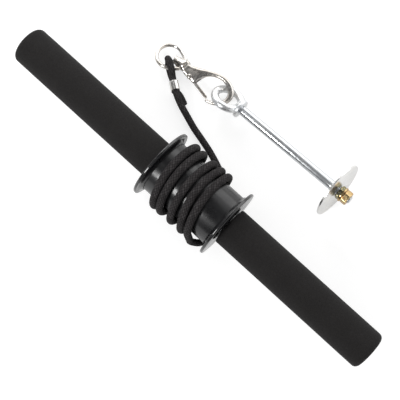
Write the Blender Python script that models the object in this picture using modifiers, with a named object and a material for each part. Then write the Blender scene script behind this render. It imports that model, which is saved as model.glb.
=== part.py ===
# Forearm trainer: a foam-gripped roller bar whose spool winds a cord. The cord carries a swivel
# snap hook, and the hook carries a loading pin that holds weight plates. It lies on a table.
# Metres, +Z up, +X along the bar, origin on the table under the middle of the whole set.

import math

import bmesh
import bpy
import numpy as np
from mathutils import Euler, Matrix, Vector

mm = 0.001
clearance = 0.3 * mm
cut_past = 1 * mm

# Roller bar, along X
bar_length = 452 * mm
grip_radius = 20 * mm
grip_end_wall = 6 * mm
grip_edge = 5 * mm
grip_inner_edge = 1.6 * mm
grip_dome = 1.2 * mm
tube_radius = 12.5 * mm
tube_wall = 2 * mm
plug_stem = 14 * mm
plug_head = 2.5 * mm
plug_bevel = 0.8 * mm

# Spool
spool_width = 90 * mm
flange_radius = 37.5 * mm
flange_thickness = 3 * mm
flange_edge = 1 * mm
drum_radius = 29 * mm
drum_wall = 2.5 * mm
lip_length = 2.8 * mm
lip_thickness = 1.3 * mm
lip_foot = 4.3 * mm
lip_step = 0.4 * mm
hub_wall = 3.2 * mm
hub_collar = 1 * mm
hub_sleeve = {"left": 4.5 * mm, "right": 14 * mm}
boss_radius = 3.9 * mm
boss_count = 3
boss_sinks = 0.8 * mm
drive_pin_radius = 2 * mm
screw_radius = 1.6 * mm
screw_head_radius = 3.1 * mm
screw_length = 12 * mm
screw_sinks = 0.1 * mm
drive_pin_sinks = 0.5 * mm

# Cord
cord_radius = 3.5 * mm
wound_radius = 3.8 * mm
winding_slack = 1.1 * mm
anchor_angle = -50
anchor_straight = 2 * wound_radius
anchor_bend = 5.5 * mm
anchor_hole_play = 0.6 * mm
anchor_lip = 1.5 * mm
anchor_settles = 65
winding_end_angle = 1632
points_per_turn = 24
# how far from the left flange's face the cord leaves its hole, and how far from it each turn
# passes the far side, the top and the near side of the drum
anchor_from_flange = 12.5 * mm
far_side_from_flange = [14.1 * mm, 24.1 * mm, 37.8 * mm, 47.9 * mm, 57.0 * mm]
top_from_flange = [13.7 * mm, 22.4 * mm, 36.2 * mm, 46.2 * mm, 56.4 * mm]
near_side_from_flange = [20.8 * mm, 29.4 * mm, 43.2 * mm, 56.4 * mm, 66.2 * mm]
last_turn_strays = 3.4 * mm
table_gap = 0.4 * mm
knot_size = (7.2 * mm, 8.2 * mm)

# Ferrule and the loop through the swivel ring
ferrule_place = Vector((-93.0 * mm, 72.0 * mm))
loop_tip = Vector((-117.6 * mm, 88.7 * mm))
ferrule_length = 9.5 * mm
ferrule_wall = 0.7 * mm
ferrule_bore = cord_radius + 0.4 * mm
ferrule_run = 5 * mm
strand_spacing = 2 * cord_radius + clearance
ferrule_height = 4.9 * mm

# Snap hook: its frame starts at the swivel's joint face, with local x towards the bow,
# local y towards the spine and local z up through its flat
hook_place = Vector((-99.8 * mm, 95.6 * mm, 8.6 * mm))
hook_yaw = 9
hook_pitch = 3.6
hook_roll = 12
ring_roll = -12
ring_centre = -19.4 * mm
ring_radius = 13.4 * mm
ring_wire = 2 * mm
ring_opens = 62
ring_leg_end = (-3.4 * mm, 6.6 * mm)
boss_length = 9.2 * mm
barrel_radius = 6.3 * mm
barrel_gap = 0.6 * mm
stud_radius = 2.4 * mm
stud_head_radius = 3.9 * mm
stud_head = 1.6 * mm
small_edge = 0.5 * mm
pivot = Vector((10.2 * mm, -6.7 * mm))
gate_angle = -20.6
gate_length = 28.0 * mm
gate_half_width = 1.6 * mm
gate_root = 3.2 * mm
gate_thickness = 4.2 * mm
gate_slot = 2.8 * mm
pocket_side = 0.4 * mm
rivet_radius = 1.6 * mm
rivet_head_radius = 2.5 * mm
rivet_head = 0.9 * mm
rivet_seat = 3.6 * mm
spring_wire = 0.3 * mm
spring_radius = 2.3 * mm
spring_turns = 3

# Loading pin: its frame starts at the eye's centre, with local x down the rod
eye_x = -43.4 * mm
pin_y = 98.7 * mm
eye_roll = -36
eye_ring_radius = 14.3 * mm
eye_section = 4.1 * mm
collar_face = 18 * mm
collar_radius = 10 * mm
collar_height = 3 * mm
thread_radius = 3.9 * mm
thread_bore = 4.25 * mm
neck_length = 1.2 * mm
rod_radius = 5 * mm
rod_end = 143 * mm
rod_chamfer = 0.8 * mm
disc_radius = 30 * mm
disc_thickness = 2 * mm
disc_bore = 4.5 * mm
disc_bore_chamfer = 1.1 * mm
disc_lean = 5
nut_across_flats = 13 * mm
lock_nut_height = 4 * mm
washer_radius = 8 * mm
washer_thickness = 1.6 * mm
end_nut_height = 6.5 * mm
thread_past_nut = 1.8 * mm

# What follows from those sizes
flange_inner = spool_width / 2 - flange_thickness
hub_radius = tube_radius + clearance + hub_wall
boss_circle = drum_radius - drum_wall - boss_radius + boss_sinks
grip_start = spool_width / 2 + hub_collar + clearance
tube_half = bar_length / 2 - grip_end_wall - plug_head - 2 * clearance
coil_radius = drum_radius + wound_radius + clearance
anchor_x = anchor_from_flange - flange_inner
middle_y = (pin_y + disc_radius - flange_radius) / 2
disc_centre = rod_end + clearance + rod_radius * math.tan(math.radians(disc_lean)) + disc_thickness / 2
nut_corner = nut_across_flats / 2 / math.cos(math.pi / 6)
lock_nut_start = (
    disc_centre + disc_thickness / 2 + nut_corner * math.tan(math.radians(disc_lean)) + clearance
)
washer_start = lock_nut_start + lock_nut_height + clearance
end_nut_start = washer_start + washer_thickness + clearance
rod_tip = end_nut_start + end_nut_height + thread_past_nut


def rest_of_pin():
    """Height of the eye's centre and the rod's pitch, with eye and disc both on the table."""
    pitch = 0.0
    for _ in range(8):
        steep = math.cos(math.radians(eye_roll)) * math.cos(pitch)
        eye_height = eye_ring_radius * math.sqrt(1 - steep * steep) + eye_section
        disc_height = disc_radius * math.cos(pitch + math.radians(disc_lean))
        disc_height += disc_thickness / 2 * math.sin(pitch + math.radians(disc_lean))
        pitch = math.asin((disc_height - eye_height) / disc_centre)
    return eye_height, pitch


eye_height, pin_pitch = rest_of_pin()


def clear_scene():
    for obj in list(bpy.data.objects):
        bpy.data.objects.remove(obj, do_unlink=True)


def collection(name):
    made = bpy.data.collections.new(name)
    bpy.context.scene.collection.children.link(made)
    return made


def material(name, colour, roughness, metallic=0.0):
    made = bpy.data.materials.new(name)
    made.use_nodes = True
    shader = made.node_tree.nodes["Principled BSDF"]
    shader.inputs["Base Color"].default_value = (*colour, 1)
    shader.inputs["Roughness"].default_value = roughness
    shader.inputs["Metallic"].default_value = metallic
    made.diffuse_color = (*colour, 1)
    return made


def place(obj, parent, location=(0, 0, 0), rotation=(0, 0, 0)):
    obj.parent = parent
    obj.location = location
    obj.rotation_euler = rotation
    return obj


def empty(name, parent, location, rotation=(0, 0, 0)):
    made = bpy.data.objects.new(name, None)
    parts.objects.link(made)
    return place(made, parent, location, rotation)


def add_part(name, data, parent, finish, location=(0, 0, 0), rotation=(0, 0, 0)):
    obj = bpy.data.objects.new(name, data)
    parts.objects.link(obj)
    data.materials.append(finish)
    return place(obj, parent, location, rotation)


def add_cutter(name, data, parent, location=(0, 0, 0), rotation=(0, 0, 0)):
    obj = bpy.data.objects.new(name, data)
    cutters.objects.link(obj)
    obj.hide_render = True
    obj.display_type = "WIRE"
    return place(obj, parent, location, rotation)


def boolean(obj, other, operation="DIFFERENCE"):
    step = obj.modifiers.new(operation.lower(), "BOOLEAN")
    step.operation = operation
    step.object = other
    step.solver = "EXACT"


def turn(obj, steps):
    """Spins a profile in the XZ plane about local Z."""
    screw = obj.modifiers.new("turn", "SCREW")
    screw.axis = "Z"
    screw.angle = 2 * math.pi
    screw.steps = steps
    screw.render_steps = steps
    screw.use_merge_vertices = True
    screw.merge_threshold = 0.00001
    screw.use_smooth_shade = True


def profile_mesh(name, profile, closed):
    """Profile points are (radius, height), and the outer side runs from top to bottom."""
    mesh = bpy.data.meshes.new(name)
    corners = [(radius, 0, height) for radius, height in profile]
    edges = [(i, i + 1) for i in range(len(corners) - 1)]
    if closed:
        edges.append((len(corners) - 1, 0))
    mesh.from_pydata(corners, edges, [])
    return mesh


along_x = (0, math.pi / 2, 0)
against_x = (0, -math.pi / 2, 0)


def turned(name, profile, parent, finish, steps, closed=True, location=(0, 0, 0), rotation=along_x):
    obj = add_part(name, profile_mesh(name, profile, closed), parent, finish, location, rotation)
    turn(obj, steps)
    return obj


def turned_cutter(name, profile, parent, steps, location=(0, 0, 0), rotation=along_x):
    obj = add_cutter(name, profile_mesh(name, profile, False), parent, location, rotation)
    turn(obj, steps)
    return obj


def rod_profile(radius, low, high, chamfer=0.0):
    if not chamfer:
        return [(0, high), (radius, high), (radius, low), (0, low)]
    return [
        (0, high),
        (radius - chamfer, high),
        (radius, high - chamfer),
        (radius, low + chamfer),
        (radius - chamfer, low),
        (0, low),
    ]


def box_mesh(name, low, high):
    mesh = bpy.data.meshes.new(name)
    work = bmesh.new()
    bmesh.ops.create_cube(work, size=1)
    for corner in work.verts:
        for axis in range(3):
            corner.co[axis] = (low[axis] + high[axis]) / 2 + corner.co[axis] * (high[axis] - low[axis])
    work.to_mesh(mesh)
    work.free()
    return mesh


def flat_curve(name, outlines, thickness):
    """A plate from closed outlines in the XY plane, as thick as given and centred on it."""
    curve = bpy.data.curves.new(name, "CURVE")
    curve.dimensions = "2D"
    curve.fill_mode = "BOTH"
    curve.extrude = thickness / 2
    for outline in outlines:
        spline = curve.splines.new("POLY")
        spline.points.add(len(outline) - 1)
        for point, (x, y) in zip(spline.points, outline):
            point.co = (x, y, 0, 1)
        spline.use_cyclic_u = True
    return curve


def circle(radius, count, centre=(0, 0), start=0.0):
    return [
        (
            centre[0] + radius * math.cos(start + 2 * math.pi * i / count),
            centre[1] + radius * math.sin(start + 2 * math.pi * i / count),
        )
        for i in range(count)
    ]


def tube_curve(name, points, radius, resolution):
    curve = bpy.data.curves.new(name, "CURVE")
    curve.dimensions = "3D"
    curve.bevel_depth = radius
    curve.bevel_resolution = resolution
    curve.use_fill_caps = True
    spline = curve.splines.new("POLY")
    spline.points.add(len(points) - 1)
    for point, place_of in zip(spline.points, points):
        point.co = (*place_of, 1)
    return curve


def smooth_route(knots, step):
    """Even points along a centripetal Catmull-Rom curve through the knots."""
    knots = [Vector(k) for k in knots]
    padded = [2 * knots[0] - knots[1]] + knots + [2 * knots[-1] - knots[-2]]
    dense = []
    for a, b, c, d in zip(padded, padded[1:], padded[2:], padded[3:]):
        t1 = (b - a).length ** 0.5
        t2 = t1 + (c - b).length ** 0.5
        t3 = t2 + (d - c).length ** 0.5
        for i in range(24):
            t = t1 + (t2 - t1) * i / 24
            ab = a.lerp(b, t / t1)
            bc = b.lerp(c, (t - t1) / (t2 - t1))
            cd = c.lerp(d, (t - t2) / (t3 - t2))
            abc = ab.lerp(bc, t / t2)
            bcd = bc.lerp(cd, (t - t1) / (t3 - t1))
            dense.append(abc.lerp(bcd, (t - t1) / (t2 - t1)))
    dense.append(knots[-1])
    lengths = [0.0]
    for a, b in zip(dense, dense[1:]):
        lengths.append(lengths[-1] + (b - a).length)
    count = max(2, round(lengths[-1] / step))
    stations = np.linspace(0, lengths[-1], count + 1)
    columns = [np.interp(stations, lengths, [p[axis] for p in dense]) for axis in range(3)]
    return [Vector(p) for p in zip(*columns)]


def weld_mesh(curve_object):
    """Turns a curve into a closed mesh, so that it can be cut."""
    bpy.context.view_layer.update()
    shape = curve_object.evaluated_get(bpy.context.evaluated_depsgraph_get())
    mesh = bpy.data.meshes.new_from_object(shape)
    work = bmesh.new()
    work.from_mesh(mesh)
    bmesh.ops.remove_doubles(work, verts=work.verts, dist=0.000001)
    work.to_mesh(mesh)
    work.free()
    name = curve_object.name
    curve_object.name = name + "_outline"
    solid = bpy.data.objects.new(name, mesh)
    parts.objects.link(solid)
    solid.parent = curve_object.parent
    solid.matrix_world = curve_object.matrix_world
    bpy.data.objects.remove(curve_object)
    return solid


def build_bar(roller):
    outer = tube_radius
    inner = tube_radius - tube_wall
    turned(
        "core_tube",
        [(outer, tube_half), (outer, -tube_half), (inner, -tube_half), (inner, tube_half)],
        roller,
        steel,
        32,
    )
    for side, facing in (("left", against_x), ("right", along_x)):
        build_grip("grip_" + side, roller, facing)
        build_tube_plug("tube_plug_" + side, roller, facing)


def build_grip(name, roller, facing):
    """A foam sleeve with a closed, domed end. Heights run outwards from the bar's middle."""
    end = bar_length / 2
    bore = tube_radius + clearance
    corner = [
        (
            grip_radius - grip_edge + grip_edge * math.sin(math.radians(angle)),
            end - grip_dome - grip_edge + grip_edge * math.cos(math.radians(angle)),
        )
        for angle in (0, 22.5, 45, 67.5, 90)
    ]
    inner_corner = [
        (
            grip_radius - grip_inner_edge + grip_inner_edge * math.cos(math.radians(angle)),
            grip_start + grip_inner_edge - grip_inner_edge * math.sin(math.radians(angle)),
        )
        for angle in (0, 45, 90)
    ]
    wall = end - grip_end_wall
    profile = [(0, end), (grip_radius * 0.45, end - grip_dome * 0.25)] + corner
    profile += inner_corner + [(bore, grip_start), (bore, wall), (0, wall)]
    turned(name, profile, roller, foam, 40, closed=False, rotation=facing)


def build_tube_plug(name, roller, facing):
    """A plastic plug that keeps the tube's cut end from biting through the foam."""
    stem = tube_radius - tube_wall - clearance
    head_low = tube_half + clearance
    head_high = head_low + plug_head
    bevel = plug_bevel
    profile = [
        (0, head_high),
        (tube_radius - bevel, head_high),
        (tube_radius, head_high - bevel),
        (tube_radius, head_low),
        (stem, head_low),
        (stem, head_low - plug_stem + bevel),
        (stem - bevel, head_low - plug_stem),
        (0, head_low - plug_stem),
    ]
    turned(name, profile, roller, plug_plastic, 24, closed=False, rotation=facing)


def drum_inside():
    """The drum's inner wall with its screw bosses standing in from it."""
    wall = drum_radius - drum_wall
    reach = math.acos((boss_circle**2 + boss_radius**2 - wall**2) / (2 * boss_circle * boss_radius))
    meets = math.asin(boss_radius * math.sin(reach) / wall)
    sector = 2 * math.pi / boss_count
    outline = []
    for boss in range(boss_count):
        middle = math.pi / 2 + boss * sector
        for i in range(9):
            turn_by = math.pi - reach - i * (2 * math.pi - 2 * reach) / 8
            x = boss_circle - boss_radius * math.cos(turn_by)
            y = -boss_radius * math.sin(turn_by)
            outline.append(
                (
                    x * math.cos(middle) - y * math.sin(middle),
                    x * math.sin(middle) + y * math.cos(middle),
                )
            )
        for i in range(1, 12):
            angle = middle + meets + i * (sector - 2 * meets) / 12
            outline.append((wall * math.cos(angle), wall * math.sin(angle)))
    return outline


def boss_places():
    """Each boss as its y and z from the bar's axis."""
    angles = [math.pi / 2 + 2 * math.pi * i / boss_count for i in range(boss_count)]
    return [(boss_circle * math.sin(a), -boss_circle * math.cos(a)) for a in angles]


def build_drum(roller):
    outlines = [circle(drum_radius, 60), drum_inside()]
    outlines += [circle(screw_radius + clearance, 10, (-z, y)) for y, z in boss_places()]
    length = 2 * (flange_inner - clearance)
    # local x and y of the outline become world -z and y, and its thickness runs along the bar
    curve = flat_curve("spool_drum", outlines, length)
    drum = weld_mesh(add_part("spool_drum", curve, roller, gloss_plastic, rotation=along_x))
    angle = math.radians(anchor_angle)
    hole = turned_cutter(
        "anchor_hole",
        rod_profile(wound_radius + anchor_hole_play, drum_radius - 2 * drum_wall, drum_radius + drum_wall),
        roller,
        16,
        location=(anchor_x, 0, 0),
        rotation=(angle - math.pi / 2, 0, 0),
    )
    boolean(drum, hole)


def build_flange(name, roller, facing, sleeve):
    """An end cap: flange, hub on the tube, and a lip that centres the drum from outside."""
    outer = spool_width / 2
    bore = tube_radius + clearance
    lip = drum_radius + clearance
    profile = [
        (hub_radius, outer + hub_collar),
        (hub_radius, outer),
        (flange_radius - flange_edge, outer),
        (flange_radius, outer - flange_edge),
        (flange_radius, flange_inner + flange_edge * 0.8),
        (flange_radius - flange_edge * 0.8, flange_inner),
        (lip + lip_foot, flange_inner),
        (lip + lip_thickness + lip_step, flange_inner - lip_length * 0.55),
        (lip + lip_thickness * 0.6, flange_inner - lip_length),
        (lip, flange_inner - lip_length),
        (lip, flange_inner),
        (hub_radius, flange_inner),
        (hub_radius, flange_inner - sleeve),
        (bore, flange_inner - sleeve),
        (bore, outer + hub_collar),
    ]
    flange = turned(name, profile, roller, gloss_plastic, 44, rotation=facing)
    head = screw_head_radius + clearance
    shank = screw_radius + clearance
    hole = [
        (0, outer + cut_past),
        (head + cut_past, outer + cut_past),
        (shank, outer - (head - shank)),
        (shank, flange_inner - cut_past),
        (0, flange_inner - cut_past),
    ]
    for i, (y, z) in enumerate(boss_places()):
        cutter = turned_cutter(f"{name}_hole_{i + 1}", hole, roller, 12, (0, y, z), facing)
        boolean(flange, cutter)
    return flange


def build_screws(side, roller, facing):
    """Countersunk screws through the flange into the drum's bosses."""
    head_top = spool_width / 2 - screw_sinks
    profile = [
        (0, head_top),
        (screw_head_radius, head_top),
        (screw_radius, head_top - (screw_head_radius - screw_radius)),
        (screw_radius, head_top - screw_length + screw_radius),
        (0, head_top - screw_length),
    ]
    for i, (y, z) in enumerate(boss_places()):
        name = f"flange_screw_{side}_{i + 1}"
        turned(name, profile, roller, steel, 10, False, (0, y, z), facing)


def build_spool(roller):
    build_drum(roller)
    for side, facing in (("left", against_x), ("right", along_x)):
        flange = build_flange("flange_" + side, roller, facing, hub_sleeve[side])
        build_screws(side, roller, facing)
    pin_x = flange_inner - hub_sleeve["right"] / 2
    half = hub_radius - drive_pin_sinks
    hole = turned_cutter(
        "drive_pin_hole",
        rod_profile(drive_pin_radius + clearance, -hub_radius - cut_past, hub_radius + cut_past),
        roller,
        12,
        location=(pin_x, 0, 0),
        rotation=(0, 0, 0),
    )
    boolean(flange, hole)
    boolean(parts.objects["core_tube"], hole)
    turned(
        "drive_pin",
        rod_profile(drive_pin_radius, -half, half, 0.4 * mm),
        roller,
        steel,
        12,
        closed=False,
        location=(pin_x, 0, 0),
        rotation=(0, 0, 0),
    )


def turn_x(angle):
    """How far along the bar the winding is at an angle, by a smooth curve through its crossings."""
    stations = [(anchor_angle, anchor_x)]
    turns = zip(far_side_from_flange, top_from_flange, near_side_from_flange)
    for turn_number, crossings in enumerate(turns):
        for quarter, from_flange in enumerate(crossings):
            stations.append((360 * turn_number + 90 * quarter, from_flange - flange_inner))
    last_x = near_side_from_flange[-1] - flange_inner + last_turn_strays
    stations.append((winding_end_angle + 20, last_x))
    slopes = []
    for i in range(len(stations)):
        before = stations[max(i - 1, 0)]
        after = stations[min(i + 1, len(stations) - 1)]
        slopes.append((after[1] - before[1]) / (after[0] - before[0]))
    for i in range(len(stations) - 1):
        (a, xa), (b, xb) = stations[i], stations[i + 1]
        if angle <= b:
            t = (angle - a) / (b - a)
            span = b - a
            return (
                (2 * t**3 - 3 * t**2 + 1) * xa
                + (t**3 - 2 * t**2 + t) * slopes[i] * span
                + (-2 * t**3 + 3 * t**2) * xb
                + (t**3 - t**2) * slopes[i + 1] * span
            )
    return stations[-1][1]


def round_drum(angle, radius, x):
    """A point by its angle round the drum: 0 is the far side (+Y) and 90 the top."""
    turn_angle = math.radians(angle)
    return Vector((x, radius * math.cos(turn_angle), radius * math.sin(turn_angle)))


def winding_points():
    """From the knot out through the anchor hole, five turns round the drum, and a straight end."""
    points = []
    hole_top = drum_radius + anchor_lip
    for step in range(3):
        radius = hole_top - anchor_straight * (1 - step / 2)
        points.append(round_drum(anchor_angle, radius, anchor_x))
    outward = round_drum(anchor_angle, 1, 0)
    sideways = round_drum(anchor_angle + 90, 1, 0)
    for bend in (30, 60, 90):
        turn_by = math.radians(bend)
        move = outward * math.sin(turn_by) + sideways * (1 - math.cos(turn_by))
        points.append(points[2] + anchor_bend * move)
    top_of_bend = hole_top + anchor_bend
    angle = anchor_angle + math.degrees(anchor_bend / top_of_bend)
    start = angle
    step = 360 / points_per_turn
    while angle + step <= winding_end_angle + 0.001:
        angle += step
        settled = min(1, (angle - start) / anchor_settles)
        ease = 0.5 - 0.5 * math.cos(math.pi * settled)
        sideways_pull = math.cos(math.radians(angle))
        radius = top_of_bend + (coil_radius - top_of_bend) * ease + winding_slack * sideways_pull**2
        points.append(round_drum(angle, radius, turn_x(angle)))
    direction = (points[-1] - points[-2]).normalized()
    for _ in range(2):
        points.append(points[-1] + direction * cord_radius)
    return points


def least_gap(points, radius):
    """The least gap that a tube through these points leaves to itself, away from its bends."""
    dense = []
    for a, b in zip(points, points[1:]):
        dense += [a.lerp(b, i / 6) for i in range(6)]
    dense.append(points[-1])
    places = np.array([tuple(p) for p in dense])
    lengths = np.concatenate([[0], np.cumsum(np.linalg.norm(np.diff(places, axis=0), axis=1))])
    apart = np.linalg.norm(places[:, None] - places[None], axis=2)
    apart[np.abs(lengths[:, None] - lengths[None]) < 8 * radius] = 1
    return apart.min() - 2 * radius


def build_winding(roller):
    points = winding_points()
    print(f"cord_winding: least gap to itself {least_gap(points, wound_radius) / mm:.2f} mm")
    add_part("cord_winding", tube_curve("cord_winding", points, wound_radius, 1), roller, braid)
    build_knot(roller)
    direction = (points[-1] - points[-2]).normalized()
    return points[-1] + direction * clearance, direction


def build_knot(roller):
    """The pulled-tight knot inside the drum, a rounded lump between the tube and the cord's end."""
    low = tube_radius + clearance
    high = drum_radius + anchor_lip - anchor_straight - clearance
    half = (high - low) / 2
    mesh = bpy.data.meshes.new("cord_knot")
    work = bmesh.new()
    bmesh.ops.create_uvsphere(work, u_segments=16, v_segments=8, radius=1)
    for corner in work.verts:
        x, y, z = corner.co
        swell = 1 + 0.06 * math.cos(6 * math.atan2(y, x)) * (1 - z * z)
        flat = math.copysign(abs(z) ** 0.7, z)
        corner.co = (x * swell * knot_size[0], y * swell * knot_size[1], flat * half)
    work.to_mesh(mesh)
    work.free()
    centre = round_drum(anchor_angle, (low + high) / 2, anchor_x)
    tilt = math.radians(anchor_angle) - math.pi / 2
    add_part("cord_knot", mesh, roller, braid, centre, (tilt, 0, 0))


def hook_rotation(roll):
    return Euler((math.radians(roll), math.radians(-hook_pitch), math.radians(hook_yaw)))


def ring_wire_point():
    """Where the cord's loop crosses the swivel ring's wire, in the swivel's frame."""
    angle = math.radians(-ring_opens)
    return Vector((ring_centre + ring_radius * math.cos(angle), ring_radius * math.sin(angle), 0))


def loop_frame():
    """The loop's flat direction, how far along it the ring's wire and the tip are, and the wire's height."""
    crossing = hook_place + hook_rotation(ring_roll).to_matrix() @ ring_wire_point()
    reach = loop_tip - ferrule_place
    onward = reach.normalized()
    to_wire = (Vector((crossing.x, crossing.y)) - ferrule_place).dot(onward)
    return onward, to_wire, reach.length, crossing.z


def build_lead(layout, roller_place, start, direction):
    """The free stretch: down off the drum, under it, and along the table to the ferrule."""
    onward = loop_frame()[0]
    start = start + roller_place
    low = cord_radius + table_gap
    upper = ferrule_height + strand_spacing
    last = Vector((*(ferrule_place - onward * clearance / 2), upper))
    before = Vector((*(ferrule_place - onward * ferrule_run), upper))
    route = [
        start,
        start + direction * 3 * mm,
        start + direction * 7 * mm + Vector((0.6 * mm, 0.2 * mm, 0)),
        (flange_inner - 8.0 * mm, -29.6 * mm, 11.4 * mm),
        (flange_inner - 6.0 * mm, -24.5 * mm, 6.6 * mm),
        (flange_inner - 5.6 * mm, -16.0 * mm, low),
        (flange_inner - 5.8 * mm, -6.0 * mm, low),
        (flange_inner - 7.5 * mm, 4.5 * mm, low),
        (30.0 * mm, 14.5 * mm, low),
        (23.0 * mm, 23.0 * mm, low),
        (14.0 * mm, 30.0 * mm, low),
        (3.0 * mm, 35.8 * mm, low),
        (-9.2 * mm, 40.6 * mm, low),
        (-22.5 * mm, 45.2 * mm, low),
        (-36.5 * mm, 49.2 * mm, low),
        (-50.0 * mm, 53.2 * mm, 4.4 * mm),
        (-62.0 * mm, 57.2 * mm, 6.6 * mm),
        (-74.0 * mm, 61.9 * mm, 10.0 * mm),
        (-83.0 * mm, 66.2 * mm, 11.9 * mm),
        before,
        last,
    ]
    points = smooth_route(route, 1.5 * cord_radius)
    add_part("cord_lead", tube_curve("cord_lead", points, cord_radius, 2), layout, braid)


def build_loop(layout):
    """Through the ferrule, over the ring's wire, down through the ring and back under it."""
    onward, to_wire, to_tip, wire_z = loop_frame()
    aside = Vector((-onward.y, onward.x)) * -1
    upper = ferrule_height + strand_spacing
    reach = ring_wire + 2 * clearance + cord_radius
    over = wire_z + reach
    under = wire_z - reach
    # distance from the ferrule's middle, height, and sideways stray
    side_view = [
        (clearance / 2, upper, 0),
        (ferrule_run, upper, 0),
        (11 * mm, upper + 1.0 * mm, 0),
        (to_wire - 5.5 * mm, over - 0.4 * mm, 0),
        (to_wire, over + 0.3 * mm, 0),
        (to_wire + 4.6 * mm, over - 0.8 * mm, 0),
        (to_tip - 1.6 * mm, wire_z + 3.6 * mm, 0),
        (to_tip, wire_z, 0),
        (to_tip - 1.6 * mm, wire_z - 3.4 * mm, 0),
        (to_wire + 4.6 * mm, under + 0.4 * mm, 0),
        (to_wire, under, 0),
        (to_wire - 6 * mm, under, 0),
        (8 * mm, ferrule_height - 0.3 * mm, 0),
        (4.6 * mm, ferrule_height, 0),
        (-4.6 * mm, ferrule_height, 0),
        (-8 * mm, ferrule_height - 0.1 * mm, 0.3 * mm),
        (-14 * mm, ferrule_height - 0.7 * mm, 2.3 * mm),
        (-20.5 * mm, cord_radius + table_gap, 5.2 * mm),
    ]
    route = []
    for along, height, stray in side_view:
        flat = ferrule_place + onward * along + aside * stray
        route.append(Vector((flat.x, flat.y, height)))
    points = smooth_route(route, 0.9 * cord_radius)
    add_part("cord_loop", tube_curve("cord_loop", points, cord_radius, 2), layout, braid)


def build_ferrule(layout):
    """A crimped oval sleeve round both strands of the cord."""
    onward = loop_frame()[0]

    def oval(radius):
        half = strand_spacing / 2
        top = [(radius * math.cos(a), half + radius * math.sin(a)) for a in np.linspace(0, math.pi, 9)]
        return top + [(-x, -y) for x, y in top]

    curve = flat_curve(
        "cord_ferrule", [oval(ferrule_bore + ferrule_wall), oval(ferrule_bore)], ferrule_length
    )
    along = Vector((onward.x, onward.y, 0))
    up = Vector((0, 0, 1))
    turned_to = Matrix((up.cross(along), up, along)).transposed()
    centre = (*ferrule_place, ferrule_height + strand_spacing / 2)
    add_part("cord_ferrule", curve, layout, ferrule_metal, centre, turned_to.to_euler())


def ring_mesh(name, radius, section, around, across):
    """A closed ring in the XY plane."""
    mesh = bpy.data.meshes.new(name)
    work = bmesh.new()
    loop = bmesh.ops.create_circle(work, cap_ends=False, radius=section, segments=across)["verts"]
    bmesh.ops.rotate(work, verts=loop, cent=(0, 0, 0), matrix=Matrix.Rotation(math.pi / 2, 3, "X"))
    bmesh.ops.translate(work, verts=loop, vec=(radius, 0, 0))
    edges = list(work.edges)
    bmesh.ops.spin(
        work, geom=loop + edges, axis=(0, 0, 1), cent=(0, 0, 0), angle=2 * math.pi, steps=around
    )
    bmesh.ops.remove_doubles(work, verts=work.verts, dist=0.000001)
    bmesh.ops.recalc_face_normals(work, faces=work.faces)
    work.to_mesh(mesh)
    work.free()
    return mesh


def build_swivel_eye(swivel):
    """The cast ring, whose legs run into the flanks of a boss bored for the hook's stud."""
    arc = np.radians(np.linspace(ring_opens, 360 - ring_opens, 25))
    outline = [
        Vector((ring_centre + ring_radius * math.cos(a), ring_radius * math.sin(a), 0)) for a in arc
    ]
    leg_x, leg_y = ring_leg_end
    outline += [Vector((leg_x, -leg_y, 0)), Vector((leg_x, leg_y, 0))]
    curve = tube_curve("swivel_eye", outline, ring_wire, 3)
    curve.splines[0].use_cyclic_u = True
    ring = weld_mesh(add_part("swivel_eye", curve, swivel, nickel))
    high = -barrel_gap
    low = high - boss_length
    boss = turned_cutter(
        "swivel_boss",
        [
            (0, high),
            (barrel_radius - small_edge, high),
            (barrel_radius, high - small_edge),
            (barrel_radius, high - 1.8 * mm),
            (stud_head_radius + 1.1 * mm, low + 1 * mm),
            (stud_head_radius + 0.6 * mm, low),
            (0, low),
        ],
        swivel,
        24,
    )
    bore = turned_cutter(
        "swivel_bore", rod_profile(stud_radius + clearance, low - cut_past, high + cut_past), swivel, 16
    )
    room = turned_cutter(
        "stud_head_room",
        rod_profile(stud_head_radius + clearance, low - stud_head - 2 * cut_past, low),
        swivel,
        20,
    )
    boolean(ring, boss, "UNION")
    boolean(ring, bore)
    boolean(ring, room)


# The hook's centre line from barrel to nose: place, heading, half width and half thickness
hook_stations = [
    ((0.0, 0.0), 0, 6.0, 6.0),
    ((2.0, -0.4), -4, 5.9, 5.9),
    ((3.6, -2.0), -6, 5.6, 5.0),
    ((10.2, -2.35), 0, 7.1, 4.7),
    ((16.9, -2.2), 2, 8.7, 4.4),
    ((19.6, 1.0), 6, 6.3, 4.0),
    ((22.8, 4.1), 12, 4.0, 3.6),
    ((27.4, 6.7), 14, 2.75, 3.2),
    ((33.8, 8.6), 8, 2.4, 3.0),
    ((40.4, 9.2), -4, 2.5, 3.0),
    ((45.6, 8.1), -20, 2.8, 3.0),
    ((50.2, 5.9), -34, 3.1, 3.0),
    ((54.0, 2.6), -52, 3.2, 3.0),
    ((56.3, -1.6), -74, 3.15, 3.0),
    ((56.4, -6.4), -96, 2.9, 2.9),
    ((54.4, -10.7), -120, 2.6, 2.8),
    ((50.8, -14.2), -141, 2.4, 2.6),
    ((46.2, -16.8), -155, 2.2, 2.5),
    ((41.6, -18.3), -167, 1.8, 2.3),
    ((38.2, -18.8), -173, 1.5, 2.1),
    ((36.4, -18.8), -175, 1.0, 1.5),
]


def hook_section(centre, heading, half_width, half_thickness, count=14):
    """A rounded-square ring of points across the hook's centre line."""
    ring = []
    across = Vector((-math.sin(math.radians(heading)), math.cos(math.radians(heading)), 0))
    for i in range(count):
        angle = 2 * math.pi * (i + 0.5) / count
        wide = math.copysign(abs(math.cos(angle)) ** 0.8, math.cos(angle))
        thick = math.copysign(abs(math.sin(angle)) ** 0.8, math.sin(angle))
        point = Vector((*centre, 0)) + across * wide * half_width + Vector((0, 0, thick * half_thickness))
        ring.append(point * mm)
    return ring


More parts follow.
